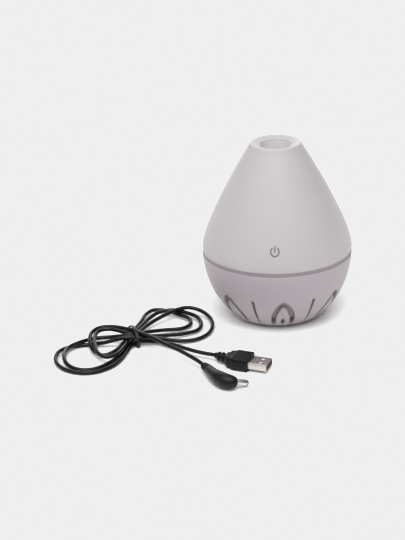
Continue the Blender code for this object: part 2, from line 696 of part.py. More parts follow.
def tank_gasket():
    minor = 0.65
    outline = [(45.05 + x, 48.45 + z) for x, z in circle(minor, 6)]
    turned_piece("tank_gasket", outline, silicone(), segments=LARGE_SEGMENTS)


def cover_outline():
    """The cover's outer face, from its rim up to the shoulder, on one cubic curve."""
    rim = Vector((51.95, SEAM_HEIGHT + GAP))
    shoulder = Vector((COVER_SHOULDER_RADIUS, COVER_SHOULDER_HEIGHT))
    first = rim + Vector((1.46, 10.2))
    second = shoulder + Vector((12.1, -19.2))
    points = []
    for step in range(10):
        t = step / 9
        s = 1.0 - t
        point = rim * s**3 + first * 3 * s * s * t + second * 3 * s * t * t + shoulder * t**3
        points.append((min(point.x, BODY_RADIUS - 0.03), point.y))
    return points


def inset_outline(outline, inset):
    """An outline moved inward by a wall thickness, along the normals between its neighbours."""
    moved = []
    for index, point in enumerate(outline):
        before = Vector(outline[max(index - 1, 0)])
        after = Vector(outline[min(index + 1, len(outline) - 1)])
        run = (after - before).normalized()
        moved.append((point[0] - run.y * inset, point[1] + run.x * inset))
    return moved


def cover_shell():
    outer = cover_outline()
    top = [
        (18.2, 122.9), (16.8, 124.0), (16.2, CREST_HEIGHT), (15.0, 124.15), (12.4, 123.3),
        (OUTLET_RADIUS + 0.2, OUTLET_LIP_HEIGHT), (OUTLET_RADIUS, OUTLET_LIP_HEIGHT - 0.4), (OUTLET_RADIUS, 119.6),
    ]
    under_top = [(17.0, 119.6)]
    inner = list(reversed(inset_outline(outer, WALL)))[1:-1]
    rim_inner = [(outer[0][0] - WALL, outer[0][1])]
    turned_piece("cover_shell", outer + top + under_top + inner + rim_inner, white_plastic())


def mist_guide():
    """The tube under the outlet, which carries the mist up from the tank."""
    top = 119.6 - GAP
    outline = [
        (15.4, top), (15.4, top - 1.5), (12.6, top - 1.5), (12.2, 100.0), (13.6, 95.0),
        (12.4, 95.0), (11.0, 100.0), (OUTLET_RADIUS, top - 2.0), (OUTLET_RADIUS, top),
    ]
    turned_piece("mist_guide", outline, white_plastic(), segments=24)


def cover_radius(height):
    outline = cover_outline()
    for (low_radius, low), (high_radius, high) in zip(outline, outline[1:]):
        if low <= height <= high:
            return low_radius + (high_radius - low_radius) * (height - low) / (high - low)
    return outline[0][0]


def printed_strip(name, points, proud_low=0.12, proud_high=0.4):
    """A thin printed strip on the cover's front; each station is two (across, height) points in mm."""
    shape = bmesh.new()
    rings = []
    for station in points:
        ring = []
        for (across, height), proud in (
            (station[0], proud_high), (station[1], proud_high), (station[1], proud_low), (station[0], proud_low),
        ):
            radius = cover_radius(height) + proud
            angle = across / cover_radius(height) - math.pi / 2
            ring.append(shape.verts.new(Vector((radius * math.cos(angle), radius * math.sin(angle), height)) * MM))
        rings.append(ring)
    for ring, following in zip(rings, rings[1:]):
        for index in range(4):
            after = (index + 1) % 4
            shape.faces.new((ring[index], ring[after], following[after], following[index]))
    shape.faces.new(list(reversed(rings[0])))
    shape.faces.new(rings[-1])
    finish(name, shape, grey_plastic())


def power_mark():
    ring = []
    for angle in spread(125.0, 415.0, 19):
        turn = math.radians(angle)
        ring.append(tuple(
            (radius * math.cos(turn), MARK_HEIGHT + radius * math.sin(turn))
            for radius in (MARK_RADIUS - MARK_STROKE / 2, MARK_RADIUS + MARK_STROKE / 2)
        ))
    printed_strip("power_mark_ring", ring)
    half = MARK_STROKE / 2
    bar = [((-half, height), (half, height)) for height in (MARK_HEIGHT - 0.3, MARK_HEIGHT + 3.5)]
    printed_strip("power_mark_bar", bar)


def touch_pad():
    """The sensing plate behind the power mark, on the tank's wall."""
    face = -(TANK_RADIUS + GAP + 0.1)
    shape = slab(rectangle(9.0, 0.6, (0.0, face - 0.3)), 58.0, 66.5)
    finish("touch_pad", shape, brass(), smooth=False)


def smooth_curve(route, per_leg=12):
    """A centripetal Catmull-Rom curve through the route's points."""
    points = [Vector(point) for point in route]
    points = [points[0] * 2 - points[1]] + points + [points[-1] * 2 - points[-2]]
    curve = []
    for p0, p1, p2, p3 in zip(points, points[1:], points[2:], points[3:]):
        t1 = math.sqrt((p1 - p0).length)
        t2 = t1 + math.sqrt((p2 - p1).length)
        t3 = t2 + math.sqrt((p3 - p2).length)
        for step in range(per_leg):
            t = t1 + (t2 - t1) * step / per_leg
            a1 = p0 * ((t1 - t) / t1) + p1 * (t / t1)
            a2 = p1 * ((t2 - t) / (t2 - t1)) + p2 * ((t - t1) / (t2 - t1))
            a3 = p2 * ((t3 - t) / (t3 - t2)) + p3 * ((t - t2) / (t3 - t2))
            b1 = a1 * ((t2 - t) / t2) + a2 * (t / t2)
            b2 = a2 * ((t3 - t) / (t3 - t1)) + a3 * ((t - t1) / (t3 - t1))
            curve.append(b1 * ((t2 - t) / (t2 - t1)) + b2 * ((t - t1) / (t2 - t1)))
    curve.append(points[-2])
    return curve


def even_points(curve, count):
    """Points at equal steps along a dense curve."""
    lengths = [0.0]
    for start, end in zip(curve, curve[1:]):
        lengths.append(lengths[-1] + (end - start).length)
    chosen = []
    leg = 0
    for step in range(count):
        distance = lengths[-1] * step / (count - 1)
        while leg < len(curve) - 2 and lengths[leg + 1] < distance:
            leg += 1
        part = (distance - lengths[leg]) / (lengths[leg + 1] - lengths[leg])
        chosen.append(curve[leg].lerp(curve[leg + 1], part))
    return chosen


def supply_cord():
    points = even_points(smooth_curve(CORD_ROUTE), CORD_POINTS)
    data = bpy.data.curves.new("supply_cord", "CURVE")
    data.dimensions = "3D"
    data.bevel_depth = CORD_DIAMETER / 2 * MM
    data.bevel_resolution = 2
    data.use_fill_caps = True
    spline = data.splines.new("POLY")
    spline.points.add(len(points) - 1)
    for slot, point in zip(spline.points, points):
        slot.co = (*(point * MM), 1.0)
    data.materials.append(black_rubber())
    thing = bpy.data.objects.new("supply_cord", data)
    bpy.context.collection.objects.link(thing)


def heading(turn, dip=0.0):
    """The way that points along a turn in plan, and down by a dip."""
    return Vector((math.cos(turn) * math.cos(dip), math.sin(turn) * math.cos(dip), -math.sin(dip)))


def straight(base, forward, reaches, section):
    """Stations of one section that runs straight along a plug's own axis."""
    return [(base + forward * reach, forward, section) for reach in reaches]


def usb_plug():
    forward = heading(USB_TURN)
    aside = Vector((-forward.y, forward.x, 0.0))
    neck_start = -15.4
    sections = [
        (0.0, 14.4, 8.2, 1.8), (-0.6, 14.8, 8.8, 1.8), (-11.0, 15.0, 8.8, 1.8), (-11.6, 13.0, 8.2, 1.8),
        (-15.0, 12.4, 7.8, 1.8), (neck_start, 9.4, 7.0, 1.8), (-17.4, 8.4, 6.6, 1.8), (-17.7, 5.0, 5.0, 1.8),
        (-18.7, 5.0, 5.0, 1.8), (-18.9, 6.6, 6.4, 1.8), (-20.7, 6.6, 6.4, 1.8), (-20.9, 4.8, 4.8, 1.8),
        (-21.9, 4.8, 4.8, 1.8), (-22.1, 6.4, 6.2, 1.8), (-23.7, 6.2, 6.0, 1.8), (-23.9, 4.6, 4.6, 1.8),
        (-26.0, 4.2, 4.2, 1.8),
    ]
    body = []
    for reach, width, height, corner in sections:
        lean = USB_NECK_LEAN * max(neck_start - reach, 0.0)
        centre = USB_BASE + forward * reach + aside * lean
        body.append((centre, forward, rounded_section(width, height, corner)))
    finish("usb_plug_body", lofted(body), black_plastic())
    shell_section = rounded_section(12.0, 4.5, 0.5, 2)
    shell = finish("usb_shell", lofted(straight(USB_BASE, forward, (GAP, 12.7), shell_section)), nickel())
    hollow = rounded_section(11.4, 3.9, 0.3, 2)
    cut(shell, lofted(straight(USB_BASE, forward, (1.0, 14.0), hollow)), "usb hollow")
    window_half = 1.1
    for index, side in enumerate((-2.6, 2.6)):
        centre = USB_BASE + forward * 7.6 + aside * side
        corners = [
            centre + aside * across + forward * ahead
            for across, ahead in ((-1, -1), (1, -1), (1, 1), (-1, 1))
        ]
        corners = [centre + (corner - centre) * window_half for corner in corners]
        window = [(corner.x, corner.y) for corner in corners]
        cut(shell, slab(window, USB_BASE.z + 1.2, USB_BASE.z + 3.5), f"usb window {index}")
    tongue_base = USB_BASE - Vector((0.0, 0.0, 0.8))
    tongue = straight(tongue_base, forward, (1.3, 11.8), rounded_section(10.6, 1.6, 0.15, 1))
    finish("usb_tongue", lofted(tongue), black_plastic(), smooth=False)


# The barrel plug's overmould from the lead to its head, as (x, y, height, radius): two ribs, then the
# body, which swells round the elbow
BARREL_BODY = [
    (-45.3, -99.4, 5.0, 1.9), (-45.0, -99.9, 5.0, 2.5), (-44.2, -101.3, 5.0, 2.6), (-44.0, -101.6, 5.05, 2.1),
    (-43.6, -102.3, 5.05, 2.2), (-43.4, -102.6, 5.05, 2.9), (-42.6, -104.0, 5.1, 3.1),
    (-42.4, -104.3, 5.1, 2.6), (-42.0, -105.0, 5.15, 2.7), (-41.8, -105.4, 5.15, 3.2),
    (-39.7, -109.5, 5.3, 3.6), (-37.5, -113.3, 5.4, 4.1), (-35.4, -116.5, 5.5, 4.6), (-33.1, -119.4, 5.6, 4.9),
    (-30.5, -121.8, 5.6, 5.0), (-28.1, -122.9, 5.55, 4.8), (-26.1, -123.1, 5.5, 4.4),
    (-24.6, -122.85, 5.4, 3.8), (-23.5, -122.4, 5.3, 3.0),
]


def barrel_plug():
    """The angled plug: ribs where the lead enters, a body that swells to the elbow, and a short head."""
    forward = heading(BARREL_TURN, BARREL_DIP)
    stations = []
    for index, (x, y, height, radius) in enumerate(BARREL_BODY):
        before = Vector(BARREL_BODY[max(index - 1, 0)][:3])
        after = Vector(BARREL_BODY[min(index + 1, len(BARREL_BODY) - 1)][:3])
        stations.append(((x, y, height), after - before, circle(radius, 16)))
    stations[-1] = (BARREL_BASE, forward, stations[-1][2])
    finish("barrel_plug_body", lofted(stations), black_plastic())
    sleeve_shape = lofted(straight(BARREL_BASE, forward, (GAP, 8.6), circle(1.75, 16)))
    sleeve = finish("barrel_sleeve", sleeve_shape, nickel())
    cut(sleeve, lofted(straight(BARREL_BASE, forward, (1.5, 10.0), circle(1.3, 16))), "sleeve bore")
    liner_shape = lofted(straight(BARREL_BASE, forward, (1.8, 8.4), circle(1.15, 12)))
    liner = finish("barrel_liner", liner_shape, black_plastic())
    cut(liner, lofted(straight(BARREL_BASE, forward, (2.5, 10.0), circle(0.6, 12))), "liner bore")


def cable_tie():
    """A flat strip closed around the lead's crossing."""
    shape = bmesh.new()
    run = Vector((TIE_RUN[0], TIE_RUN[1], 0.0)).normalized()
    aside = Vector((-run.y, run.x, 0.0))
    count = len(TIE_OUTLINE)
    rings = []
    for index, (reach, height) in enumerate(TIE_OUTLINE):
        before = Vector(TIE_OUTLINE[index - 1])
        after = Vector(TIE_OUTLINE[(index + 1) % count])
        tangent = (after - before).normalized()
        outward = Vector((tangent.y, -tangent.x))
        ring = []
        for side, out in ((-1, 0), (1, 0), (1, 1), (-1, 1)):
            flat = Vector((reach, height)) + outward * (out - 0.5) * TIE_THICKNESS
            flat.y = max(flat.y, 0.1)
            place = Vector((TIE_CENTRE[0], TIE_CENTRE[1], 0.0)) + run * flat.x
            place += aside * side * TIE_WIDTH / 2 + Vector((0.0, 0.0, flat.y))
            ring.append(shape.verts.new(place * MM))
        rings.append(ring)
    for ring, following in zip(rings, rings[1:] + rings[:1]):
        for corner in range(4):
            after = (corner + 1) % 4
            shape.faces.new((ring[corner], ring[after], following[after], following[corner]))
    finish("cable_tie", shape, black_plastic())


def build():
    clear_scene()
    base_shell()
    light_diffuser()
    seam_ring()
    bottom_cover()
    feet()
    base_screws()
    control_board()
    board_components()
    supply_socket()
    fan()
    air_duct()
    water_tank()
    mist_maker()
    tank_gasket()
    cover_shell()
    mist_guide()
    power_mark()
    touch_pad()
    supply_cord()
    usb_plug()
    barrel_plug()
    cable_tie()


build()
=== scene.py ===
"""The finished look of a cool mist humidifier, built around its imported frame.

Every piece is modelled in the frame's own place, in metres with +Z up. Drawings are written in
millimetres and pass through MM. Run the file as a script; the panel lists the steps it takes.
"""

import math

import bpy
import bmesh
import numpy as np
from bpy.props import FloatProperty, FloatVectorProperty, IntProperty, PointerProperty
from mathutils import Matrix, Vector


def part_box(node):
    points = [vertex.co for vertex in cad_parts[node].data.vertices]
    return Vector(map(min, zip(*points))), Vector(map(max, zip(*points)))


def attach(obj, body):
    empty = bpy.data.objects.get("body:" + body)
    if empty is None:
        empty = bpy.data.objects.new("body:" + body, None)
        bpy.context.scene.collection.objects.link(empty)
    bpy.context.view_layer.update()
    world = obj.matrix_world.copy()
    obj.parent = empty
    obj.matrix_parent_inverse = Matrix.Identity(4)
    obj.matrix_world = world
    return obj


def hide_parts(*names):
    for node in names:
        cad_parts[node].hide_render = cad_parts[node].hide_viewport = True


bl_info = {
    "name": "Cool mist humidifier",
    "version": (1, 0, 0),
    "blender": (4, 5, 0),
    "location": "View3D > Sidebar > Humidifier",
    "description": "Builds the bowl, cover, supply lead and studio around the packed frame",
    "category": "Object",
}

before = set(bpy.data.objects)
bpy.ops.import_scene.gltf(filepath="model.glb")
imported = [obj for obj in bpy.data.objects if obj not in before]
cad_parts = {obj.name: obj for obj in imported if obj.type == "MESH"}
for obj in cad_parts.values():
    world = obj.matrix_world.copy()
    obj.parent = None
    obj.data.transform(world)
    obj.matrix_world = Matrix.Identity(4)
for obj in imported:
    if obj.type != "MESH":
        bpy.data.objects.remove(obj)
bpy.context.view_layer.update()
MM = 0.001


def box_mm(node):
    """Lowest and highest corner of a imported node, in millimetres."""
    low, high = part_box(node)
    return low / MM, high / MM


def middle_mm(node):
    low, high = box_mm(node)
    return (low + high) / 2


# Sizes read from the frame, in millimetres
BOWL_LOW, BOWL_HIGH = (corner.z for corner in box_mm("base_shell"))
COVER_LOW, CREST = (corner.z for corner in box_mm("cover_shell"))
COVER_RIM = COVER_LOW - 0.35
RING_HIGH = box_mm("seam_ring")[1].z
RING_RADIUS = box_mm("seam_ring")[1].x
DIFFUSER_HIGH = box_mm("light_diffuser")[1].z
GUIDE_LOW = box_mm("mist_guide")[0].z

# The bowl's outline is an ellipse whose widest point is the seam
BODY_RADIUS = 52.05
BOWL_DEPTH = 59.3
WALL = 2.0

# The lotus pattern: angles in degrees, heights and widths in millimetres
PETALS = 7
FIRST_ARCH = -83.3
ARCH_FOOT = 4.8
ARCH_SPRING = 8.0
ARCH_TOP = 26.5
ARCH_HALF_ANGLE = 12.0
PETAL_TOP = 21.7
PETAL_HALF_ANGLE = 7.2
LOBE_TOP = 18.8
LOBE_HALF_ANGLE = 5.6
FACET_DEPTH = 1.0
FLAME_TOP = 11.2
FLAME_HALF_ANGLE = 2.2
SLIT_TOP_WIDTH = 1.15
EDGE_CHAMFER = 0.2
SOCKET_ANGLE = 103.8
SOCKET_HEIGHT = 14.6
SOCKET_HOLE = 3.5

OUTLET_RADIUS = 10.7
SHOULDER = (19.5, 120.5)
COVER_CEILING = 119.6
MARK_HEIGHT = 63.7
MARK_RADIUS = 2.8
MARK_STROKE = 0.75

# The supply lead's route from the USB plug to the barrel plug, in metres. It makes three loops on the right
# and four on the left, all bound where they cross, and lies over itself there. A program that keeps crossing
# strands apart worked these points out from a given list; the list itself is not by hand.
LEAD_ROUTE = [
    (-0.0394, -0.0824, 0.00445), (-0.0454, -0.0802, 0.0044), (-0.0519, -0.0774, 0.0045),
    (-0.0603, -0.0721, 0.0044), (-0.0705, -0.0647, 0.0039), (-0.0807, -0.058, 0.0024),
    (-0.0911, -0.0587, 0.0029), (-0.097, -0.0635, 0.0024), (-0.0993, -0.0726, 0.0017),
    (-0.1021, -0.0846, 0.0016), (-0.1078, -0.0955, 0.0016), (-0.1177, -0.1027, 0.0016),
    (-0.1285, -0.1029, 0.0016), (-0.1384, -0.0974, 0.0017), (-0.1448, -0.0872, 0.0023),
    (-0.1448, -0.0759, 0.0031), (-0.1392, -0.0661, 0.002), (-0.1281, -0.0617, 0.0017),
    (-0.1156, -0.0618, 0.0034), (-0.1029, -0.0623, 0.007), (-0.0908, -0.0604, 0.0066),
    (-0.0788, -0.0583, 0.005), (-0.0665, -0.0576, 0.0028), (-0.0547, -0.0538, 0.002),
    (-0.0472, -0.0457, 0.002), (-0.0444, -0.0343, 0.0025), (-0.0466, -0.0221, 0.0036),
    (-0.0541, -0.013, 0.0052), (-0.0625, -0.0116, 0.0068), (-0.0713, -0.0156, 0.0067),
    (-0.0809, -0.0237, 0.005), (-0.0887, -0.0334, 0.0037), (-0.0937, -0.0442, 0.0032),
    (-0.0972, -0.0567, 0.0023), (-0.1014, -0.0662, 0.0015), (-0.1041, -0.0783, 0.0015),
    (-0.1091, -0.0895, 0.0016), (-0.1181, -0.098, 0.0015), (-0.1273, -0.099, 0.0017),
    (-0.1353, -0.0939, 0.0024), (-0.1397, -0.0837, 0.0036), (-0.1388, -0.0696, 0.0034),
    (-0.1317, -0.0628, 0.0043), (-0.1232, -0.0559, 0.0037), (-0.1125, -0.0544, 0.004),
    (-0.0992, -0.0592, 0.0076), (-0.0874, -0.0552, 0.0053), (-0.076, -0.0508, 0.0036),
    (-0.0643, -0.0464, 0.0027), (-0.0543, -0.0394, 0.0024), (-0.0523, -0.0305, 0.0028),
    (-0.0559, -0.0204, 0.0036), (-0.0646, -0.0139, 0.0041), (-0.0736, -0.0123, 0.0053),
    (-0.0833, -0.0152, 0.0047), (-0.0894, -0.0236, 0.0037), (-0.0937, -0.0352, 0.0031),
    (-0.0974, -0.0461, 0.0027), (-0.0992, -0.0617, 0.0046), (-0.1013, -0.0718, 0.0047),
    (-0.1051, -0.0831, 0.0048), (-0.1112, -0.0865, 0.0048), (-0.1169, -0.0824, 0.0055),
    (-0.1202, -0.0725, 0.0063), (-0.1224, -0.0599, 0.0069), (-0.12, -0.0512, 0.0074),
    (-0.113, -0.0494, 0.0076), (-0.1038, -0.0529, 0.0073), (-0.0947, -0.0537, 0.0063),
    (-0.0871, -0.0473, 0.0047), (-0.0768, -0.0409, 0.0031), (-0.0651, -0.0369, 0.0024),
    (-0.0599, -0.0303, 0.0025), (-0.0613, -0.022, 0.003), (-0.0692, -0.0152, 0.003),
    (-0.0795, -0.008, 0.003), (-0.0874, -0.008, 0.0033), (-0.0922, -0.0144, 0.0032),
    (-0.0947, -0.0266, 0.0028), (-0.0979, -0.0385, 0.0024), (-0.101, -0.0505, 0.0022),
    (-0.1027, -0.0625, 0.0034), (-0.1068, -0.0737, 0.003), (-0.1136, -0.0786, 0.0022),
    (-0.1201, -0.0761, 0.0034), (-0.1246, -0.0661, 0.0054), (-0.1253, -0.0541, 0.007),
    (-0.121, -0.0474, 0.0077), (-0.1128, -0.0466, 0.0083), (-0.1018, -0.0503, 0.0084),
    (-0.0913, -0.0593, 0.0094), (-0.0817, -0.0663, 0.009), (-0.0724, -0.0746, 0.0084),
    (-0.0632, -0.0815, 0.0075), (-0.0545, -0.0888, 0.0061), (-0.049, -0.0941, 0.0053),
    (-0.0455, -0.099, 0.005),
]
LEAD_DIAMETER = 0.0028

# The lead's plugs, in millimetres: where each one's own axis starts, and the way it points
USB_BASE = Vector((-15.2, -93.0, 4.45))
USB_TURN = math.radians(-18.5)
USB_NECK_LEAN = 0.2
BARREL_BASE = Vector((-23.5, -122.4, 5.3))
BARREL_TURN = math.radians(27.0)
BARREL_DIP = math.radians(19.0)

# The tie: its centre on the floor, the way it runs in plan, and its closed outline along that way and up
TIE_CENTRE = Vector((-96.0, -56.0, 0.0))
TIE_RUN = Vector((0.451, -0.892, 0.0)).normalized()
TIE_WIDTH = 2.4
TIE_THICKNESS = 0.7
TIE_OUTLINE = [
    (-12.0, 0.45), (7.5, 0.45), (9.2, 3.2), (9.4, 6.0), (7.6, 8.6),
    (4.0, 11.2), (-4.5, 11.6), (-8.8, 8.8), (-13.0, 4.8), (-13.8, 1.8),
]


# ---- Sizes and colours that a user would change ----

class HumidifierSizes(bpy.types.PropertyGroup):
    """Sizes of the finished meshes."""

    petal_depth: FloatProperty(
        name="Petal facet depth", description="How far a petal's sloped tip sinks at its edge",
        default=FACET_DEPTH * MM, min=0.0, max=0.002, precision=5, subtype="DISTANCE", unit="LENGTH",
    )
    edge_chamfer: FloatProperty(
        name="Edge chamfer", description="Width of the soft edge around each cut in the bowl",
        default=EDGE_CHAMFER * MM, min=0.00005, max=0.0005, precision=5, subtype="DISTANCE", unit="LENGTH",
    )
    lead_diameter: FloatProperty(
        name="Lead diameter", description="Thickness of the supply lead",
        default=LEAD_DIAMETER, min=0.001, max=0.005, precision=4, subtype="DISTANCE", unit="LENGTH",
    )
    segments: IntProperty(
        name="Segments", description="Steps round each large turned piece", default=252, min=84, max=504,
    )


def colour_property(name, description, colour):
    return FloatVectorProperty(
        name=name, description=description, default=colour, size=3, min=0.0, max=1.0, subtype="COLOR",
    )


class HumidifierColours(bpy.types.PropertyGroup):
    """Base colours of the finishes."""

    cover: colour_property("Cover", "Satin plastic of the cover", (0.434, 0.408, 0.418))
    # Painted shade: the bowl is the cover's white plastic, given a darker, pinker colour because less light
    # reaches it
    bowl: colour_property("Bowl", "Satin plastic of the base bowl", (0.372, 0.334, 0.357))
    # Painted light: a far paler copy of the white plastic, standing for light shining through the outlet's
    # wall
    inside: colour_property("Inside", "Paler plastic inside the outlet", (0.80, 0.765, 0.78))
    seam: colour_property("Seam ring", "Grey ring between bowl and cover", (0.296, 0.256, 0.284))
    # Painted shade: a dark colour for milky plastic, standing for the shade in the petal grooves
    diffuser: colour_property("Diffuser", "Milky plastic behind the petals", (0.234, 0.190, 0.195))
    mark: colour_property("Power mark", "Print on the cover", (0.080, 0.080, 0.084))
    lead: colour_property("Lead", "Black PVC of the lead and plugs", (0.0035, 0.0035, 0.0038))
    nickel: colour_property("Nickel", "Plated metal of the plugs", (0.60, 0.555, 0.525))
    floor: colour_property("Floor", "Pale studio floor", (0.98, 0.98, 0.98))


class StudioSettings(bpy.types.PropertyGroup):
    """The camera and the light."""

    lens: FloatProperty(
        name="Lens", description="Focal length of the camera",
        default=96.67, min=10.0, max=300.0, unit="CAMERA",
    )
    light: FloatProperty(
        name="Light", description="Strength of the whole studio light", default=1.0, min=0.0, max=10.0,
    )
    backdrop: FloatProperty(
        name="Backdrop", description="Brightness seen beyond the floor", default=1.2, min=0.0, max=5.0,
    )
    white: FloatProperty(
        name="White", description="Level that the lit floor prints at", default=0.863, min=0.1, max=1.0,
    )


# ---- Shader building ----

class Socket:
    """A shader output that reads as a number: an expression on it adds its Math nodes."""

    def __init__(self, tree, output):
        self.tree = tree
        self.output = output

    def math(self, operation, *values):
        return self.tree.add("ShaderNodeMath", {"operation": operation}, dict(enumerate(values)))

    def __add__(self, other):
        return self.math("ADD", self, other)

    def __sub__(self, other):
        return self.math("SUBTRACT", self, other)

    def __rsub__(self, other):
        return self.math("SUBTRACT", other, self)

    def __mul__(self, other):
        return self.math("MULTIPLY", self, other)

    def __gt__(self, other):
        return self.math("GREATER_THAN", self, other)

    def __lt__(self, other):
        return self.math("LESS_THAN", self, other)

    __radd__ = __add__
    __rmul__ = __mul__


class NodeTree:
    """A material's or world's nodes, added one call at a time."""

    def __init__(self, owner):
        owner.use_nodes = True
        self.nodes = owner.node_tree.nodes
        self.links = owner.node_tree.links

    def add(self, kind, settings=None, values=None, output=0):
        """Adds a node: its settings first, then its sockets' values or links; returns one output."""
        node = self.nodes.new(kind)
        for key, setting in (settings or {}).items():
            setattr(node, key, setting)
        self.feed(node, values or {})
        return Socket(self, node.outputs[output])

    def feed(self, node, values):
        for key, value in values.items():
            if isinstance(value, Socket):
                self.links.new(value.output, node.inputs[key])
            elif value is not None:
                node.inputs[key].default_value = value

    def place(self):
        """Where a point lies in the frame, in metres."""
        return self.add("ShaderNodeTexCoord", output="Object")

    def height(self, place):
        """How high a point lies, in metres."""
        return self.add("ShaderNodeSeparateXYZ", None, {0: place}, output="Z")

    def noise(self, place, scale, detail=2.0, roughness=0.5):
        return self.add(
            "ShaderNodeTexNoise", None,
            {"Vector": place, "Scale": scale, "Detail": detail, "Roughness": roughness},
        )

    def between(self, value, low, high, from_low=0.0, from_high=1.0):
        """The value carried smoothly from one range to another, and held at its ends."""
        return self.add(
            "ShaderNodeMapRange", {"interpolation_type": "SMOOTHSTEP"},
            {0: value, 1: from_low, 2: from_high, 3: low, 4: high},
        )

    def mix(self, share, first, second, blend="MIX"):
        return self.add(
            "ShaderNodeMix", {"data_type": "RGBA", "blend_type": blend},
            {0: share, 6: solid(first), 7: solid(second)}, output=2,
        )

    def stretch(self, place, lengths, turn=0.0):
        """Coordinates turned about Z and measured in these lengths, in metres."""
        return self.add(
            "ShaderNodeMapping", {"vector_type": "TEXTURE"}, {0: place, 2: (0.0, 0.0, turn), 3: lengths},
        )

    def bump(self, height, distance):
        return self.add("ShaderNodeBump", None, {"Strength": 1.0, "Distance": distance, "Height": height})


def socket_name(key):
    """The shader's own name for a socket written like base_color."""
    return key.replace("_", " ").title().replace("Ior", "IOR")


def solid(colour):
    """An RGBA value from an RGB one; a socket passes through."""
    return colour if isinstance(colour, Socket) else (*colour[:3], 1.0)


def shade(colour, factor):
    """A colour made lighter or darker."""
    return tuple(min(1.0, part * factor) for part in colour)


class Finish(NodeTree):
    """A material under construction, with its one Principled shader."""

    def __init__(self, name, **constants):
        self.material = bpy.data.materials.new(name)
        super().__init__(self.material)
        self.shader = self.nodes["Principled BSDF"]
        self.set(**constants)

    def set(self, **values):
        """Feeds the shader's sockets, named like base_color, and returns the material."""
        self.feed(self.shader, {socket_name(key): value for key, value in values.items()})
        return self.material


def colours():
    return bpy.context.scene.humidifier_colours


def sizes():
    return bpy.context.scene.humidifier_sizes


def made_once(build):
    """Lets a material's function return the same material each time."""
    def get():
        name = build.__name__.replace("_", " ")
        return bpy.data.materials.get(name) or build(name)
    return get


def moulded(name, colour, roughness, grain=2200.0, depth=0.00002, cloud=0.05, specks=0.0, **constants):
    """Moulded plastic: a fine spark-eroded grain, slow cloudiness and a few dark specks."""
    finish = Finish(name, **constants)
    place = finish.place()
    drift = finish.noise(place, 38.0, 3.0)
    fine = finish.noise(place, grain, 2.0, 0.6)
    tone = finish.mix(drift, shade(colour, 1.0 - cloud), shade(colour, 1.0 + cloud))
    tone = finish.mix(fine * 0.16, tone, shade(colour, 0.86))
    if specks:
        dots = finish.add(
            "ShaderNodeTexVoronoi", {"feature": "F1"}, {"Vector": place, "Scale": 95.0, "Randomness": 1.0},
        )
        rare = finish.noise(place, 60.0, 0.0) > 0.66
        tone = finish.mix((dots < 0.045) * rare * specks, tone, shade(colour, 0.45))
    rubbed = finish.between(drift, -0.05, 0.05, 0.3, 0.7)
    return finish.set(
        base_color=tone,
        roughness=rubbed + fine * 0.08 + (roughness - 0.04),
        normal=finish.bump(fine, depth),
    )


@made_once
def cover_plastic(name):
    return moulded(name, colours().cover, 0.46, depth=0.000012, cloud=0.012, specks=0.55, ior=1.46)


# Painted shade: the cover's white plastic made darker and pinker for the bowl, which faces the floor and gets
# less light
@made_once
def shaded_bowl_plastic(name):
    return moulded(name, colours().bowl, 0.46, depth=0.000012, cloud=0.015, specks=0.4, ior=1.46)


# Painted light: the mist guide is the cover's white plastic, made far paler to stand for light shining
# through the outlet
@made_once
def lit_inner_plastic(name):
    return moulded(name, colours().inside, 0.5, depth=0.000012, cloud=0.015)


@made_once
def seam_plastic(name):
    return moulded(name, colours().seam, 0.5, cloud=0.03)


@made_once
def shaded_diffuser_plastic(name):
    """Milky plastic, darkened as painted shade for the petal grooves, with a darker painted shade band where
    no lamp stands behind it.
    """
    colour = colours().diffuser
    finish = Finish(name)
    place = finish.place()
    height = finish.height(place)
    cloud = finish.noise(place, 90.0, 3.0)
    # Painted shade: the colour falls to a third between about 7.8 and 10.2 mm high, easing back by 7.2 and
    # 11.2 mm
    above_shade_band = finish.between(height, 0.0, 1.0, 0.0102, 0.0112)
    below_shade_band = finish.between(height, 0.0, 1.0, 0.0078, 0.0072)
    tone = finish.mix(cloud * 0.25, colour, shade(colour, 0.8))
    tone = finish.mix(above_shade_band + below_shade_band, shade(colour, 0.32), tone)
    fine = finish.noise(place, 1600.0)
    return finish.set(base_color=tone, roughness=cloud * 0.1 + 0.42, normal=finish.bump(fine, 0.00001))


@made_once
def mark_print(name):
    """Grey pad-printed ink with a slightly uneven film."""
    colour = colours().mark
    finish = Finish(name)
    place = finish.place()
    film = finish.noise(place, 1500.0, 4.0, 0.7)
    tone = finish.mix(film, shade(colour, 0.8), shade(colour, 1.35))
    return finish.set(base_color=tone, roughness=film * 0.2 + 0.4, normal=finish.bump(film, 0.00001))


@made_once
def lead_vinyl(name):
    """Extruded black PVC: faint haze, fine scuffs and a satin shine."""
    colour = colours().lead
    finish = Finish(name, specular_ior_level=0.22)
    place = finish.place()
    haze = finish.noise(place, 120.0, 3.0)
    scuff = finish.noise(place, 1400.0, 3.0, 0.7)
    tone = finish.mix(haze * 0.5, colour, shade(colour, 1.5))
    worn = finish.between(scuff, 0.0, 0.1, 0.55, 0.8)
    roughness = worn + haze * 0.06 + 0.17
    return finish.set(base_color=tone, roughness=roughness, normal=finish.bump(scuff, 0.00001))


@made_once
def plug_plastic(name):
    return moulded(name, colours().lead, 0.42, grain=2600.0, cloud=0.2, specular_ior_level=0.25)


@made_once
def tie_plastic(name):
    return moulded(name, colours().lead, 0.3, grain=1800.0, depth=0.00001, cloud=0.2, specular_ior_level=0.3)


# Painted highlight: bright pads that make the USB shell's windows show as glints
@made_once
def glint_white_insert(name):
    return moulded(name, (0.80, 0.78, 0.74), 0.4, cloud=0.03)


@made_once
def black_rubber(name):
    return moulded(name, (0.02, 0.02, 0.021), 0.62, grain=1500.0, depth=0.00004, cloud=0.25)


@made_once
def silicone(name):
    return moulded(name, (0.68, 0.68, 0.66), 0.5, grain=900.0, cloud=0.04)


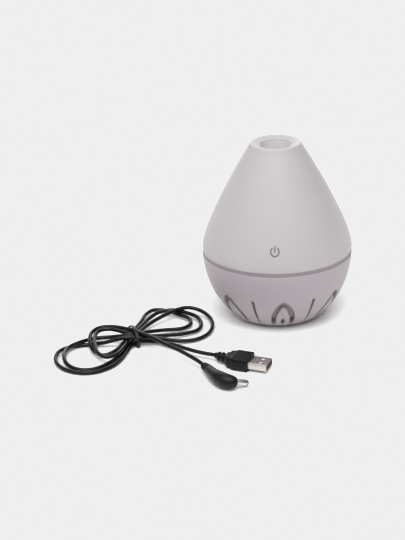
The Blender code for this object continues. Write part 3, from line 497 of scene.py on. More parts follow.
@made_once
def tank_plastic(name):
    return moulded(name, (0.60, 0.58, 0.60), 0.3, grain=1300.0, cloud=0.03)


@made_once
def black_moulding(name):
    return moulded(name, (0.018, 0.018, 0.019), 0.4, cloud=0.2)


@made_once
def lamp_lens(name):
    return moulded(name, (0.85, 0.83, 0.70), 0.18, grain=700.0, depth=0.000005, cloud=0.04)


def drawn_metal(name, colour, roughness, lengths, turn=0.0, tarnish=0.12):
    """Plated metal with fine lines, whose lengths along each axis are given in metres."""
    finish = Finish(name, metallic=1.0)
    place = finish.place()
    lines = finish.noise(finish.stretch(place, lengths, turn), 1.0, 4.0, 0.65)
    cloud = finish.noise(place, 260.0, 3.0)
    tone = finish.mix(cloud, shade(colour, 1.0 + tarnish), shade(colour, 1.0 - tarnish))
    tone = finish.mix(lines * 0.3, tone, shade(colour, 0.7))
    return finish.set(
        base_color=tone, roughness=lines * 0.16 + cloud * 0.08 + (roughness - 0.1),
        normal=finish.bump(lines, 0.000004),
    )


@made_once
def shell_nickel(name):
    return drawn_metal(name, colours().nickel, 0.27, (0.012, 0.00025, 0.00025), USB_TURN)


@made_once
def barrel_nickel(name):
    return drawn_metal(name, shade(colours().nickel, 1.12), 0.2, (0.0004, 0.007, 0.007), BARREL_TURN)


@made_once
def zinc_steel(name):
    return drawn_metal(name, (0.55, 0.55, 0.56), 0.36, (0.0011, 0.0011, 0.0004), tarnish=0.2)


@made_once
def bare_brass(name):
    return drawn_metal(name, (0.62, 0.46, 0.20), 0.34, (0.0008, 0.0008, 0.0004), tarnish=0.2)


@made_once
def circuit_board(name):
    """Green solder mask over copper tracks that run in steps."""
    finish = Finish(name)
    place = finish.place()
    cells = finish.add(
        "ShaderNodeTexVoronoi", {"feature": "F1", "distance": "MANHATTAN"},
        {"Vector": place, "Scale": 260.0, "Randomness": 0.6},
    )
    tracks = finish.add("ShaderNodeMath", {"operation": "FRACT"}, {0: cells * 4.0})
    copper = (tracks > 0.42) * (tracks < 0.58)
    cloud = finish.noise(place, 140.0)
    tone = finish.mix(cloud, (0.02, 0.16, 0.06), (0.03, 0.24, 0.09))
    tone = finish.mix(copper * 0.7, tone, (0.08, 0.36, 0.13))
    return finish.set(base_color=tone, roughness=cloud * 0.1 + 0.3, normal=finish.bump(copper, 0.00003))


@made_once
def floor_paper(name):
    """Pale seamless paper."""
    colour = colours().floor
    finish = Finish(name, specular_ior_level=0.0)
    place = finish.place()
    fibre = finish.noise(place, 900.0, 4.0, 0.6)
    tone = finish.mix(fibre, shade(colour, 0.997), shade(colour, 1.003))
    return finish.set(base_color=tone, roughness=fibre * 0.05 + 0.9)


# ---- Mesh building; points are in millimetres ----

def link_object(name, data, finish):
    thing = bpy.data.objects.new(name, data)
    bpy.context.scene.collection.objects.link(thing)
    data.materials.append(finish)
    return thing


def piece_from(name, points, faces, finish, sharp=32.0):
    """A mesh object from points in mm, with outward faces and smooth shading up to a sharp angle."""
    mesh = bpy.data.meshes.new(name)
    mesh.from_pydata((np.asarray(points, float) * MM).tolist(), [], faces)
    shape = bmesh.new()
    shape.from_mesh(mesh)
    bmesh.ops.recalc_face_normals(shape, faces=shape.faces)
    shape.to_mesh(mesh)
    shape.free()
    mesh.shade_smooth()
    mesh.set_sharp_from_angle(angle=math.radians(sharp))
    return link_object(name, mesh, finish)


def band(first, second, closed=True):
    """Quads between two rows of vertex numbers."""
    count = len(first)
    return [
        (first[i], first[(i + 1) % count], second[(i + 1) % count], second[i])
        for i in range(count if closed else count - 1)
    ]


def skin(rows, loop=False):
    """Quads over rows of vertex numbers, and from the last row back to the first in a loop."""
    following = rows[1:] + rows[:1] if loop else rows[1:]
    return [face for row, after in zip(rows, following) for face in band(row, after)]


def turned(outline, segments, centre=(0.0, 0.0)):
    """Points and faces of a closed (radius, height) outline spun about a vertical axis."""
    points = []
    rows = []
    for radius, height in outline:
        steps = 1 if radius < 1e-6 else segments
        rows.append([len(points) + step for step in range(steps)])
        for step in range(steps):
            angle = 2.0 * math.pi * step / segments
            across, along = radius * math.cos(angle), radius * math.sin(angle)
            points.append((centre[0] + across, centre[1] + along, height))
    faces = []
    for row, after in zip(rows, rows[1:] + rows[:1]):
        if len(row) == 1 and len(after) == 1:
            continue
        if len(row) == 1 or len(after) == 1:
            tip, ring = (row[0], after) if len(row) == 1 else (after[0], row)
            faces += [(tip, ring[i], ring[(i + 1) % len(ring)]) for i in range(len(ring))]
        else:
            faces += band(row, after)
    return points, faces


def turned_piece(name, outline, finish, segments=None, centre=(0.0, 0.0), sharp=32.0):
    return piece_from(name, *turned(outline, segments or sizes().segments, centre), finish, sharp)


def cubic(start, first, second, end, steps):
    """Points on one cubic curve, its ends included."""
    points = []
    for step in range(steps + 1):
        t = step / steps
        s = 1.0 - t
        points.append(tuple(
            a * s**3 + 3 * b * s * s * t + 3 * c * s * t * t + d * t**3
            for a, b, c, d in zip(start, first, second, end)
        ))
    return points


def rounded(outline, radius, steps=3):
    """A closed outline with each corner cut back and rounded, by a given radius or less."""
    made = []
    for index, corner in enumerate(outline):
        before = Vector(outline[index - 1])
        here = Vector(corner)
        after = Vector(outline[(index + 1) % len(outline)])
        on_axis = abs(here.x) < 1e-6
        back = min(radius, (before - here).length * 0.45)
        ahead = min(radius, (after - here).length * 0.45)
        if on_axis or back < 1e-4 or ahead < 1e-4:
            made.append(tuple(here))
            continue
        start = here + (before - here).normalized() * back
        end = here + (after - here).normalized() * ahead
        for step in range(steps + 1):
            t = step / steps
            made.append(tuple(start * (1 - t) ** 2 + here * (2 * t * (1 - t)) + end * t * t))
    return made


def rounded_section(width, height, corner, steps=5):
    """A rounded rectangle as (across, up) points."""
    points = []
    corner = min(corner, width / 2 - 0.01, height / 2 - 0.01)
    for turn, (side, up) in enumerate(((1, 1), (-1, 1), (-1, -1), (1, -1))):
        for step in range(steps + 1):
            angle = math.radians(90.0 * turn + 90.0 * step / steps)
            across = side * (width / 2 - corner) + corner * math.cos(angle)
            raised = up * (height / 2 - corner) + corner * math.sin(angle)
            points.append((across, raised))
    return points


def ring_section(radius, steps=32):
    return [
        (radius * math.cos(2 * math.pi * step / steps), radius * math.sin(2 * math.pi * step / steps))
        for step in range(steps)
    ]


def lofted(stations):
    """Points and faces of sections joined end to end; a station is (centre, direction, section)."""
    points = []
    rows = []
    for centre, direction, section in stations:
        forward = Vector(direction).normalized()
        across = Vector((0.0, 0.0, 1.0)).cross(forward).normalized()
        up = forward.cross(across)
        rows.append([len(points) + index for index in range(len(section))])
        points += [Vector(centre) + across * side + up * raised for side, raised in section]
    return points, skin(rows) + [tuple(reversed(rows[0])), tuple(rows[-1])]


def heading(turn, dip=0.0):
    """The way that points along a turn in plan, and down by a dip."""
    return Vector((math.cos(turn) * math.cos(dip), math.sin(turn) * math.cos(dip), -math.sin(dip)))


def rod(base, forward, start, end, radius):
    """Stations of a round rod between two reaches along an axis."""
    return [(base + forward * reach, forward, ring_section(radius)) for reach in (start, end)]


def along_axis(base, forward, profile):
    """Stations along a plug's own axis; profile rows are (reach, width, height, corner)."""
    return [(base + forward * reach, forward, rounded_section(*size)) for reach, *size in profile]


def cut(piece, points, faces, operation="DIFFERENCE"):
    """One exact Boolean, applied to the piece's mesh."""
    cutter = piece_from("cutter", points, faces, piece.data.materials[0])
    boolean = piece.modifiers.new("cut", "BOOLEAN")
    boolean.operation = operation
    boolean.solver = "EXACT"
    boolean.object = cutter
    apply_modifiers(piece)
    mesh = cutter.data
    bpy.data.objects.remove(cutter)
    bpy.data.meshes.remove(mesh)


def apply_modifiers(piece):
    """Puts the evaluated mesh in the piece and clears its modifiers."""
    bpy.context.view_layer.update()
    evaluated = piece.evaluated_get(bpy.context.evaluated_depsgraph_get())
    finished = bpy.data.meshes.new_from_object(evaluated)
    before = piece.data
    piece.modifiers.clear()
    piece.data = finished
    bpy.data.meshes.remove(before)


def soften(piece, width, steps=2, angle=35.0):
    """A small bevel along a piece's hard edges, width in mm."""
    bevel = piece.modifiers.new("soft edges", "BEVEL")
    bevel.width = width * MM
    bevel.segments = steps
    bevel.limit_method = "ANGLE"
    bevel.angle_limit = math.radians(angle)
    bevel.harden_normals = True
    return piece


def stand(piece, body, slot, *nodes):
    """Joins a finished piece to its body and hides the imported nodes that it stands for; slot is not used.
    """
    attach(piece, body)
    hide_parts(*nodes)


# ---- The bowl and its lotus pattern ----

def bowl_radius(height):
    down = (RING_HIGH - height) / BOWL_DEPTH
    return BODY_RADIUS * np.sqrt(1.0 - down * down)


def bowl_slope(height):
    """How fast the bowl's radius grows with height."""
    down = (RING_HIGH - height) / BOWL_DEPTH
    return BODY_RADIUS * down / (BOWL_DEPTH * np.sqrt(1.0 - down * down))


def bowl_points(angle, height, inset):
    """Points a given distance inside the bowl's outer face; angle in degrees."""
    slope = bowl_slope(height)
    level = np.sqrt(1.0 + slope * slope)
    radius = bowl_radius(height) - inset / level
    turn = np.radians(angle)
    return np.stack([radius * np.cos(turn), radius * np.sin(turn), height + inset * slope / level], axis=-1)


def from_petal(angle, centre):
    """Degrees from the nearest petal whose middle is at centre, or a whole number of petals on."""
    sector = 360.0 / PETALS
    return (angle - centre + sector / 2) % sector - sector / 2


def inside_arch(aside, height, half_angle, top):
    """Distance in mm inside a pointed arch, negative outside it."""
    rise_power = 1.6
    side_power = 1.0 / 0.62
    risen = np.clip((height - ARCH_SPRING) / (top - ARCH_SPRING), 0.0, None)
    share = np.abs(aside) / half_angle
    field = 1.0 - risen**rise_power - share**side_power
    per_mm = np.radians(1.0) * bowl_radius(height)
    climb = rise_power * risen ** (rise_power - 1.0) / (top - ARCH_SPRING) / np.hypot(1.0, bowl_slope(height))
    spread = side_power * share ** (side_power - 1.0) / half_angle / per_mm
    return field / np.maximum(np.hypot(climb, spread), 0.03)


def inside_slit(aside, height):
    """Distance in mm inside a slit, which widens upward and ends in a round."""
    across = np.radians(aside) * bowl_radius(height)
    share = np.clip((height - ARCH_FOOT) / (ARCH_TOP - ARCH_FOOT), 0.0, 1.0)
    half = SLIT_TOP_WIDTH * (0.3 + 0.7 * share**0.7)
    round_centre = ARCH_TOP - SLIT_TOP_WIDTH
    over = np.clip(height - round_centre, 0.0, None) * np.hypot(1.0, bowl_slope(height))
    return half - np.hypot(across, over)


def inside_flame(aside, height):
    """Distance in mm inside the small flame: broad in its lower half and pointed above."""
    risen = (height - ARCH_FOOT) / (FLAME_TOP - ARCH_FOOT)
    half = FLAME_HALF_ANGLE * (0.5 + 0.5 * np.sin(np.pi * np.clip(risen, 0.0, 0.5)))
    half = half * np.clip(2.2 * (1.0 - risen), -1.0, 1.0)
    return (half - np.abs(aside)) * np.radians(1.0) * bowl_radius(height)


def inside_socket_hole(angle, height):
    turn = (angle - SOCKET_ANGLE + 180.0) % 360.0 - 180.0
    across = np.radians(turn) * bowl_radius(height)
    return SOCKET_HOLE - np.hypot(across, height - SOCKET_HEIGHT)


def solid_field(angle, height):
    """Distance in mm into the solid wall from the nearest cut, negative inside a cut."""
    aside = from_petal(angle, FIRST_ARCH)
    groove = np.minimum(
        inside_arch(aside, height, ARCH_HALF_ANGLE, ARCH_TOP),
        -inside_arch(aside, height, PETAL_HALF_ANGLE, PETAL_TOP),
    )
    slit = inside_slit(from_petal(angle, FIRST_ARCH + 180.0 / PETALS), height)
    petal_cuts = np.maximum(np.maximum(groove, slit), inside_flame(aside, height))
    petal_cuts = np.minimum(petal_cuts, (height - ARCH_FOOT) * np.hypot(1.0, bowl_slope(height)))
    return -np.maximum(petal_cuts, inside_socket_hole(angle, height))


def facet_sink(angle, height):
    """How deep a petal's sloped tip sinks: none at the inner lobe, most at the petal's edge."""
    aside = from_petal(angle, FIRST_ARCH)
    in_petal = np.clip(inside_arch(aside, height, PETAL_HALF_ANGLE, PETAL_TOP), 0.0, None)
    off_lobe = np.clip(-inside_arch(aside, height, LOBE_HALF_ANGLE, LOBE_TOP), 0.0, None)
    share = np.where(in_petal > 0.0, off_lobe / np.maximum(off_lobe + in_petal, 1e-6), 0.0)
    fade = np.clip((height - 9.0) / 7.0, 0.0, 1.0)
    return share * fade * fade * (3.0 - 2.0 * fade) * sizes().petal_depth / MM


class CutGrid:
    """The bowl's face as a grid of angle and height, clipped where the pattern cuts it."""

    def __init__(self, angles, heights):
        self.angles = angles
        self.heights = heights
        self.columns = len(angles)
        self.places = []
        self.depths = []
        self.found = {}
        self.faces = []
        self.cut_edges = []
        step = angles[1] - angles[0]
        wide = np.append(angles, angles[-1] + step)
        grid_angles, grid_heights = np.meshgrid(wide, heights)
        self.field = solid_field(grid_angles, grid_heights)
        self.wide = wide

    def corner(self, row, column):
        key = (row, column % self.columns)
        if key not in self.found:
            self.found[key] = self.add(self.wide[column], self.heights[row], self.field[row][column])
        return self.found[key]

    def crossing(self, first, second, level):
        """The point between two corners where the field reaches a level."""
        key = (level, *sorted((row, column % self.columns) for row, column in (first, second)))
        if key not in self.found:
            low, high = self.field[first[0]][first[1]], self.field[second[0]][second[1]]
            share = (level - low) / (high - low)
            angle = self.wide[first[1]] + share * (self.wide[second[1]] - self.wide[first[1]])
            height = self.heights[first[0]] + share * (self.heights[second[0]] - self.heights[first[0]])
            self.found[key] = self.add(angle, height, level)
        return self.found[key]

    def add(self, angle, height, depth):
        self.places.append((angle, height))
        self.depths.append(depth)
        return len(self.places) - 1

    def clipped(self, cell, low, high):
        """The part of a cell whose field lies between two levels, as vertex numbers with their levels."""
        ring = []
        for here, after in zip(cell, cell[1:] + cell[:1]):
            value, following = self.field[here[0]][here[1]], self.field[after[0]][after[1]]
            if low <= value < high:
                ring.append((self.corner(*here), None))
            least, most = min(value, following), max(value, following)
            crossed = [level for level in (low, high) if least < level <= most]
            for level in sorted(crossed, reverse=bool(value > following)):
                ring.append((self.crossing(here, after, level), level))
        return ring

    def fill(self, chamfer):
        """Adds every cell's solid part, split where the chamfer starts, and notes the cut's edges."""
        for row in range(len(self.heights) - 1):
            for column in range(self.columns):
                cell = [(row, column), (row, column + 1), (row + 1, column + 1), (row + 1, column)]
                values = [self.field[r][c] for r, c in cell]
                if min(values) >= chamfer:
                    self.faces.append(tuple(self.corner(r, c) for r, c in cell))
                elif max(values) > 0.0:
                    self.add_part(self.clipped(cell, chamfer, math.inf))
                    self.add_part(self.clipped(cell, 0.0, chamfer))

    def add_part(self, ring):
        if len(ring) < 3:
            return
        self.faces.append(tuple(number for number, _ in ring))
        for (here, level), (after, next_level) in zip(ring, ring[1:] + ring[:1]):
            if level == 0.0 and next_level == 0.0:
                self.cut_edges.append((here, after))


def bowl_shape():
    """Points and faces of the bowl's shell: pierced wall, rim, and the ledge under it."""
    steps = sizes().segments * 2
    angles = FIRST_ARCH + np.arange(steps) * 360.0 / steps
    pattern_low, pattern_high = 4.2, 27.6
    heights = np.concatenate([
        [BOWL_LOW + 0.35, 3.4],
        np.arange(pattern_low, pattern_high, 0.4),
        np.linspace(pattern_high, BOWL_HIGH - 0.35, 13),
    ])
    grid = CutGrid(angles, heights)
    chamfer = sizes().edge_chamfer / MM
    grid.fill(chamfer)
    place = np.array(grid.places)
    depth = np.clip(chamfer - np.array(grid.depths), 0.0, None)
    outer = bowl_points(place[:, 0], place[:, 1], depth + facet_sink(place[:, 0], place[:, 1]))
    inner = bowl_points(place[:, 0], np.maximum(place[:, 1], 4.2), WALL)
    count = len(outer)
    points = [*outer, *inner]
    faces = list(grid.faces)
    faces += [tuple(number + count for number in reversed(face)) for face in grid.faces]
    faces += [(b, a, a + count, b + count) for a, b in grid.cut_edges]
    rim = [grid.corner(len(heights) - 1, column) for column in range(steps)]
    foot = [grid.corner(0, column) for column in range(steps)]
    rim_radius = float(bowl_radius(BOWL_HIGH))
    rim_rings = [(rim_radius - 0.3, BOWL_HIGH), (rim_radius - WALL + 0.3, BOWL_HIGH)]
    foot_radius = float(bowl_radius(BOWL_LOW))
    foot_rings = [
        (foot_radius - 0.3, BOWL_LOW), (31.0, BOWL_LOW), (31.0, 4.5), (25.0, 4.5), (25.0, 5.9),
    ]
    for start, rings, end in (
        (rim, rim_rings, [number + count for number in rim]),
        (foot, foot_rings, [number + count for number in foot]),
    ):
        rows = [start]
        for radius, height in rings:
            rows.append([len(points) + step for step in range(steps)])
            turn = np.radians(angles)
            level = np.full(steps, height)
            points += list(np.stack([radius * np.cos(turn), radius * np.sin(turn), level], axis=-1))
        rows.append(end)
        faces += skin(rows)
    return points, faces


class HUMIDIFIER_OT_bowl(bpy.types.Operator):
    """Models the base bowl, pierced by the lotus pattern, with the diffuser behind it"""

    bl_idname = "humidifier.bowl"
    bl_label = "Bowl and diffuser"

    def execute(self, context):
        bowl = piece_from("base_bowl", *bowl_shape(), shaded_bowl_plastic(), sharp=26.0)
        stand(bowl, "root", "white_plastic", "base_shell")
        heights = np.linspace(5.0, DIFFUSER_HIGH, 26)
        outer = [diffuser_point(height, WALL + 0.25) for height in heights]
        inner = [diffuser_point(height, WALL + 1.65) for height in reversed(heights)]
        diffuser = turned_piece("petal_diffuser", outer + inner, shaded_diffuser_plastic(), sharp=40.0)
        outward = heading(math.radians(SOCKET_ANGLE))
        cut(diffuser, *lofted(rod(Vector((0.0, 0.0, SOCKET_HEIGHT)), outward, 28.0, 50.0, 4.0)))
        diffuser.data.set_sharp_from_angle(angle=math.radians(40.0))
        stand(diffuser, "root", "milky_plastic", "light_diffuser")
        return {"FINISHED"}


def diffuser_point(height, inset):
    x, _, z = bowl_points(0.0, height, inset)
    return (float(x), float(z))


class HUMIDIFIER_OT_seam_ring(bpy.types.Operator):
    """Models the grey ring that shows as a band between the bowl and the cover"""

    bl_idname = "humidifier.seam_ring"
    bl_label = "Seam ring"

    def execute(self, context):
        low = BOWL_HIGH + 0.06
        high = COVER_RIM - 0.06
        outline = [
            (RING_RADIUS, low), (RING_RADIUS, high), (46.4, high), (46.4, 47.5),
            (43.8, 47.5), (43.8, RING_HIGH), (43.0, RING_HIGH), (43.0, low),
        ]
        ring = turned_piece("seam_band", rounded(outline, 0.12, 2), seam_plastic())
        stand(ring, "root", "grey_plastic", "seam_ring")
        return {"FINISHED"}


# ---- The cover ----

def cover_side(steps=56):
    """The cover's outer face from its rim up to the shoulder."""
    return cubic((51.92, COVER_RIM), (53.4, COVER_RIM + 10.5), (31.6, 101.3), SHOULDER, steps)


def cover_radius(height):
    side = cover_side()
    radii = [point[0] for point in side]
    levels = [point[1] for point in side]
    return float(np.interp(height, levels, radii))


def cover_outline():
    """The whole closed section of the cover: rim, side, crest, dished top, outlet and inner face."""
    side = cover_side()
    top = CREST + 0.4
    crest = cubic(SHOULDER, (18.45, 122.15), (18.0, top), (16.4, top), 12)[1:]
    dish = cubic((16.4, top), (14.6, top), (12.6, 123.3), (11.35, 122.98), 8)[1:]
    lip = cubic((11.35, 122.98), (10.95, 122.88), (OUTLET_RADIUS, 122.7), (OUTLET_RADIUS, 122.3), 4)[1:]
    inner = []
    for before, here, after in zip(side, side[1:], side[2:]):
        run = (Vector(after) - Vector(before)).normalized()
        inner.append((here[0] - run.y * WALL, here[1] + run.x * WALL))
    inner = [point for point in reversed(inner) if point[1] < 119.0]
    rim = [(49.95, COVER_RIM + 0.25), (50.2, COVER_RIM), (51.65, COVER_RIM), (51.88, COVER_RIM + 0.2)]
    ceiling = [(OUTLET_RADIUS, COVER_CEILING), (17.0, COVER_CEILING)]
    return side[1:] + crest + dish + lip + ceiling + inner + rim


class HUMIDIFIER_OT_cover(bpy.types.Operator):
    """Models the domed cover with its outlet, and the mist guide under it"""

    bl_idname = "humidifier.cover"
    bl_label = "Cover and mist guide"

    def execute(self, context):
        cover = turned_piece("dome_cover", cover_outline(), cover_plastic(), sharp=50.0)
        stand(cover, "cover", "white_plastic", "cover_shell")
        top = COVER_CEILING - 0.1
        collar = OUTLET_RADIUS - 0.3
        collar_top = 122.1
        outline = [
            (15.4, top), (15.4, top - 1.5), (12.6, top - 1.5), (12.2, 100.0), (13.6, GUIDE_LOW),
            (12.4, GUIDE_LOW), (10.9, 100.0), (collar, top - 2.0), (collar, collar_top),
            (OUTLET_RADIUS - 0.02, collar_top), (OUTLET_RADIUS - 0.02, top),
        ]
        guide = turned_piece("mist_tube", rounded(outline, 0.25, 3), lit_inner_plastic(), 96)
        stand(guide, "cover", "white_plastic", "mist_guide")
        return {"FINISHED"}


def printed(name, stations, low=0.03, high=0.07):
    """A thin printed strip on the cover's front; a station is two (across, height) points."""
    points = []
    rows = []
    for first, second in stations:
        rows.append([len(points) + corner for corner in range(4)])
        for (across, height), proud in ((first, high), (second, high), (second, low), (first, low)):
            radius = cover_radius(height) + proud
            angle = across / cover_radius(height) - math.pi / 2
            points.append((radius * math.cos(angle), radius * math.sin(angle), height))
    faces = skin(rows) + [tuple(reversed(rows[0])), tuple(rows[-1])]
    return piece_from(name, points, faces, mark_print())


class HUMIDIFIER_OT_power_mark(bpy.types.Operator):
    """Prints the power mark on the cover: a ring open at its top and a short bar"""

    bl_idname = "humidifier.power_mark"
    bl_label = "Power mark"

    def execute(self, context):
        ring = []
        for angle in np.radians(np.linspace(125.0, 415.0, 59)):
            ring.append(tuple(
                (radius * math.cos(angle), MARK_HEIGHT + radius * math.sin(angle))
                for radius in (MARK_RADIUS - MARK_STROKE / 2, MARK_RADIUS + MARK_STROKE / 2)
            ))
        stand(printed("mark_ring", ring), "cover", "dark_print", "power_mark_ring")
        half = MARK_STROKE / 2
        levels = np.linspace(MARK_HEIGHT - 0.3, MARK_HEIGHT + 3.5, 9)
        bar = [((-half, height), (half, height)) for height in levels]
        stand(printed("mark_bar", bar), "cover", "dark_print", "power_mark_bar")
        return {"FINISHED"}


# ---- The supply lead ----

def smooth_curve(route, per_leg=8):
    """A centripetal Catmull-Rom curve through the route's points."""
    points = [Vector(point) for point in route]
    points = [points[0] * 2 - points[1]] + points + [points[-1] * 2 - points[-2]]
    curve = []
    for p0, p1, p2, p3 in zip(points, points[1:], points[2:], points[3:]):
        t1 = math.sqrt((p1 - p0).length)
        t2 = t1 + math.sqrt((p2 - p1).length)
        t3 = t2 + math.sqrt((p3 - p2).length)
        for step in range(per_leg):
            t = t1 + (t2 - t1) * step / per_leg
            a1 = p0 * ((t1 - t) / t1) + p1 * (t / t1)
            a2 = p1 * ((t2 - t) / (t2 - t1)) + p2 * ((t - t1) / (t2 - t1))
            a3 = p2 * ((t3 - t) / (t3 - t2)) + p3 * ((t - t2) / (t3 - t2))
            b1 = a1 * ((t2 - t) / t2) + a2 * (t / t2)
            b2 = a2 * ((t3 - t) / (t3 - t1)) + a3 * ((t - t1) / (t3 - t1))
            curve.append(b1 * ((t2 - t) / (t2 - t1)) + b2 * ((t - t1) / (t2 - t1)))
    curve.append(points[-2])
    return curve


class HUMIDIFIER_OT_lead(bpy.types.Operator):
    """Lays the supply lead along its route, tied in loops"""

    bl_idname = "humidifier.lead"
    bl_label = "Supply lead"

    def execute(self, context):
        points = smooth_curve(LEAD_ROUTE)
        data = bpy.data.curves.new("lead", "CURVE")
        data.dimensions = "3D"
        data.bevel_depth = sizes().lead_diameter / 2
        data.bevel_resolution = 5
        data.use_fill_caps = True
        spline = data.splines.new("POLY")
        spline.points.add(len(points) - 1)
        for slot, point in zip(spline.points, points):
            slot.co = (*point, 1.0)
        lead = link_object("lead", data, lead_vinyl())
        stand(lead, "root", "black_lead", "supply_cord")
        return {"FINISHED"}


class HUMIDIFIER_OT_usb_plug(bpy.types.Operator):
    """Models the USB plug: overmould with ribs, metal shell and its inner tongue"""

    bl_idname = "humidifier.usb_plug"
    bl_label = "USB plug"

    def execute(self, context):
        forward = heading(USB_TURN)
        aside = Vector((-forward.y, forward.x, 0.0))
        neck_start = -15.5
        profile = [
            (-26.0, 4.0, 4.0, 1.9), (-23.9, 4.6, 4.6, 2.1), (-23.6, 6.2, 6.0, 2.6), (-22.1, 6.4, 6.2, 2.6),
            (-21.8, 4.8, 4.8, 2.2), (-20.9, 4.8, 4.8, 2.2), (-20.6, 6.6, 6.4, 2.6), (-18.9, 6.6, 6.4, 2.6),
            (-18.6, 5.0, 5.0, 2.2), (-17.7, 5.0, 5.0, 2.2), (-17.3, 8.6, 6.6, 1.8),
            (neck_start, 9.6, 7.0, 1.6), (-15.0, 12.4, 7.8, 1.5), (-11.7, 13.2, 8.3, 1.4),
            (-11.0, 15.0, 8.8, 1.3), (-0.5, 15.0, 8.8, 1.3), (0.0, 14.4, 8.2, 1.3),
        ]
        stations = []
        for centre, direction, section in along_axis(USB_BASE, forward, profile):
            lean = USB_NECK_LEAN * max(neck_start - (centre - USB_BASE).dot(forward), 0.0)
            stations.append((centre + aside * lean, direction, section))
        body = piece_from("usb_overmould", *lofted(stations), plug_plastic(), sharp=60.0)
        soften(body, 0.22, 3, 24.0)
        stand(body, "root", "black_plastic", "usb_plug_body")

        tube = along_axis(USB_BASE, forward, [(-0.8, 12.0, 4.5, 0.55), (12.7, 12.0, 4.5, 0.55)])
        shell = piece_from("usb_metal_shell", *lofted(tube), shell_nickel())
        cut(shell, *lofted(along_axis(USB_BASE, forward, [(0.5, 11.4, 3.9, 0.35), (14.0, 11.4, 3.9, 0.35)])))
        for side in (-2.6, 2.6):
            for middle in (2.3, -2.3):
                centre = USB_BASE + aside * side + Vector((0.0, 0.0, middle))
                window = [(6.45, 2.3, 2.2, 0.02), (8.75, 2.3, 2.2, 0.02)]
                cut(shell, *lofted(along_axis(centre, forward, window)))
        soften(shell, 0.07, 2, 40.0)
        stand(shell, "root", "nickel", "usb_shell")

        low = USB_BASE - Vector((0.0, 0.0, 0.8))
        tongue = along_axis(low, forward, [(1.0, 10.6, 1.8, 0.2), (11.8, 10.6, 1.8, 0.2)])
        insert = piece_from("usb_tongue_plastic", *lofted(tongue), black_moulding())
        stand(soften(insert, 0.1), "root", "black_plastic", "usb_tongue")
        # Painted highlight: white pads under the shell's windows make them show the glints of the window
        # edges
        for index, side in enumerate((-2.6, 2.6)):
            centre = USB_BASE + aside * side + Vector((0.0, 0.0, 1.05))
            boss = along_axis(centre, forward, [(6.2, 2.9, 1.3, 0.1), (9.0, 2.9, 1.3, 0.1)])
            pad = piece_from(f"usb_window_glint_pad_{index + 1}", *lofted(boss), glint_white_insert())
            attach(soften(pad, 0.08), "root")
        return {"FINISHED"}


# The barrel plug's overmould from the lead to its head, as (x, y, height, radius) in millimetres: two
# ribs, then the body, which swells round the elbow
BARREL_BODY = [
    (-45.4, -99.2, 5.0, 1.6), (-45.15, -99.6, 5.0, 2.5), (-44.9, -100.1, 5.0, 2.7), (-44.3, -101.1, 5.0, 2.7),
    (-44.1, -101.4, 5.05, 1.9), (-43.6, -102.3, 5.05, 1.9), (-43.35, -102.7, 5.05, 3.0),
    (-42.7, -103.8, 5.1, 3.15), (-42.45, -104.2, 5.1, 2.3), (-41.9, -105.1, 5.15, 2.3),
    (-41.65, -105.6, 5.15, 3.3), (-39.7, -109.5, 5.3, 3.65), (-37.5, -113.3, 5.4, 4.1),
    (-35.4, -116.5, 5.5, 4.6), (-33.1, -119.4, 5.6, 4.9), (-30.5, -121.8, 5.6, 5.0),
    (-28.1, -122.9, 5.55, 4.8), (-26.1, -123.1, 5.5, 4.4), (-24.6, -122.85, 5.4, 3.8),
    (-23.8, -122.55, 5.35, 3.3), (-23.5, -122.4, 5.3, 2.9),
]


def flowing(path, per_leg=4):
    """(centre, radius) stations eased along one smooth curve through a path of (x, y, height, radius)."""
    places = smooth_curve([place for *place, _ in path], per_leg)
    graph = [(radius, 0.0, float(index)) for index, (*_, radius) in enumerate(path)]
    widths = smooth_curve(graph, per_leg)
    return [(place, width.x) for place, width in zip(places, widths)]


class HUMIDIFIER_OT_barrel_plug(bpy.types.Operator):
    """Models the angled barrel plug: ribbed neck, elbow, metal sleeve and the liner at its tip"""

    bl_idname = "humidifier.barrel_plug"
    bl_label = "Barrel plug"

    def execute(self, context):
        path = flowing(BARREL_BODY)
        stations = []
        for index, (place, radius) in enumerate(path):
            before = path[max(index - 1, 0)][0]
            after = path[min(index + 1, len(path) - 1)][0]
            stations.append((place, after - before, ring_section(radius, 40)))
        body = piece_from("barrel_overmould", *lofted(stations), plug_plastic(), sharp=60.0)
        stand(body, "root", "black_plastic", "barrel_plug_body")

        tube = [(-0.8, 2.05), (7.3, 2.05), (7.65, 1.9), (7.65, 1.5), (1.5, 1.5), (1.5, 0.2), (-0.8, 0.2)]
        sleeve = piece_from("barrel_metal_sleeve", *spun_along(rounded(tube, 0.08, 2)), barrel_nickel())
        stand(sleeve, "root", "nickel", "barrel_sleeve")
        lining = [(1.8, 1.35), (7.7, 1.35), (7.7, 1.95), (8.2, 1.85), (8.6, 1.5), (8.6, 0.6)]
        lining += [(2.5, 0.6), (1.8, 0.6)]
        liner = piece_from("barrel_tip_liner", *spun_along(rounded(lining, 0.08, 2)), black_moulding())
        stand(liner, "root", "black_plastic", "barrel_liner")
        return {"FINISHED"}


def spun_along(outline, segments=48):
    """A closed (reach, radius) outline spun about the barrel plug's own axis."""
    forward = heading(BARREL_TURN, BARREL_DIP)
    aside = Vector((0.0, 0.0, 1.0)).cross(forward).normalized()
    upright = forward.cross(aside)
    points = []
    rows = []
    for reach, radius in outline:
        rows.append([len(points) + step for step in range(segments)])
        for side, up in ring_section(radius, segments):
            points.append(BARREL_BASE + forward * reach + aside * side + upright * up)
    return points, skin(rows, loop=True)


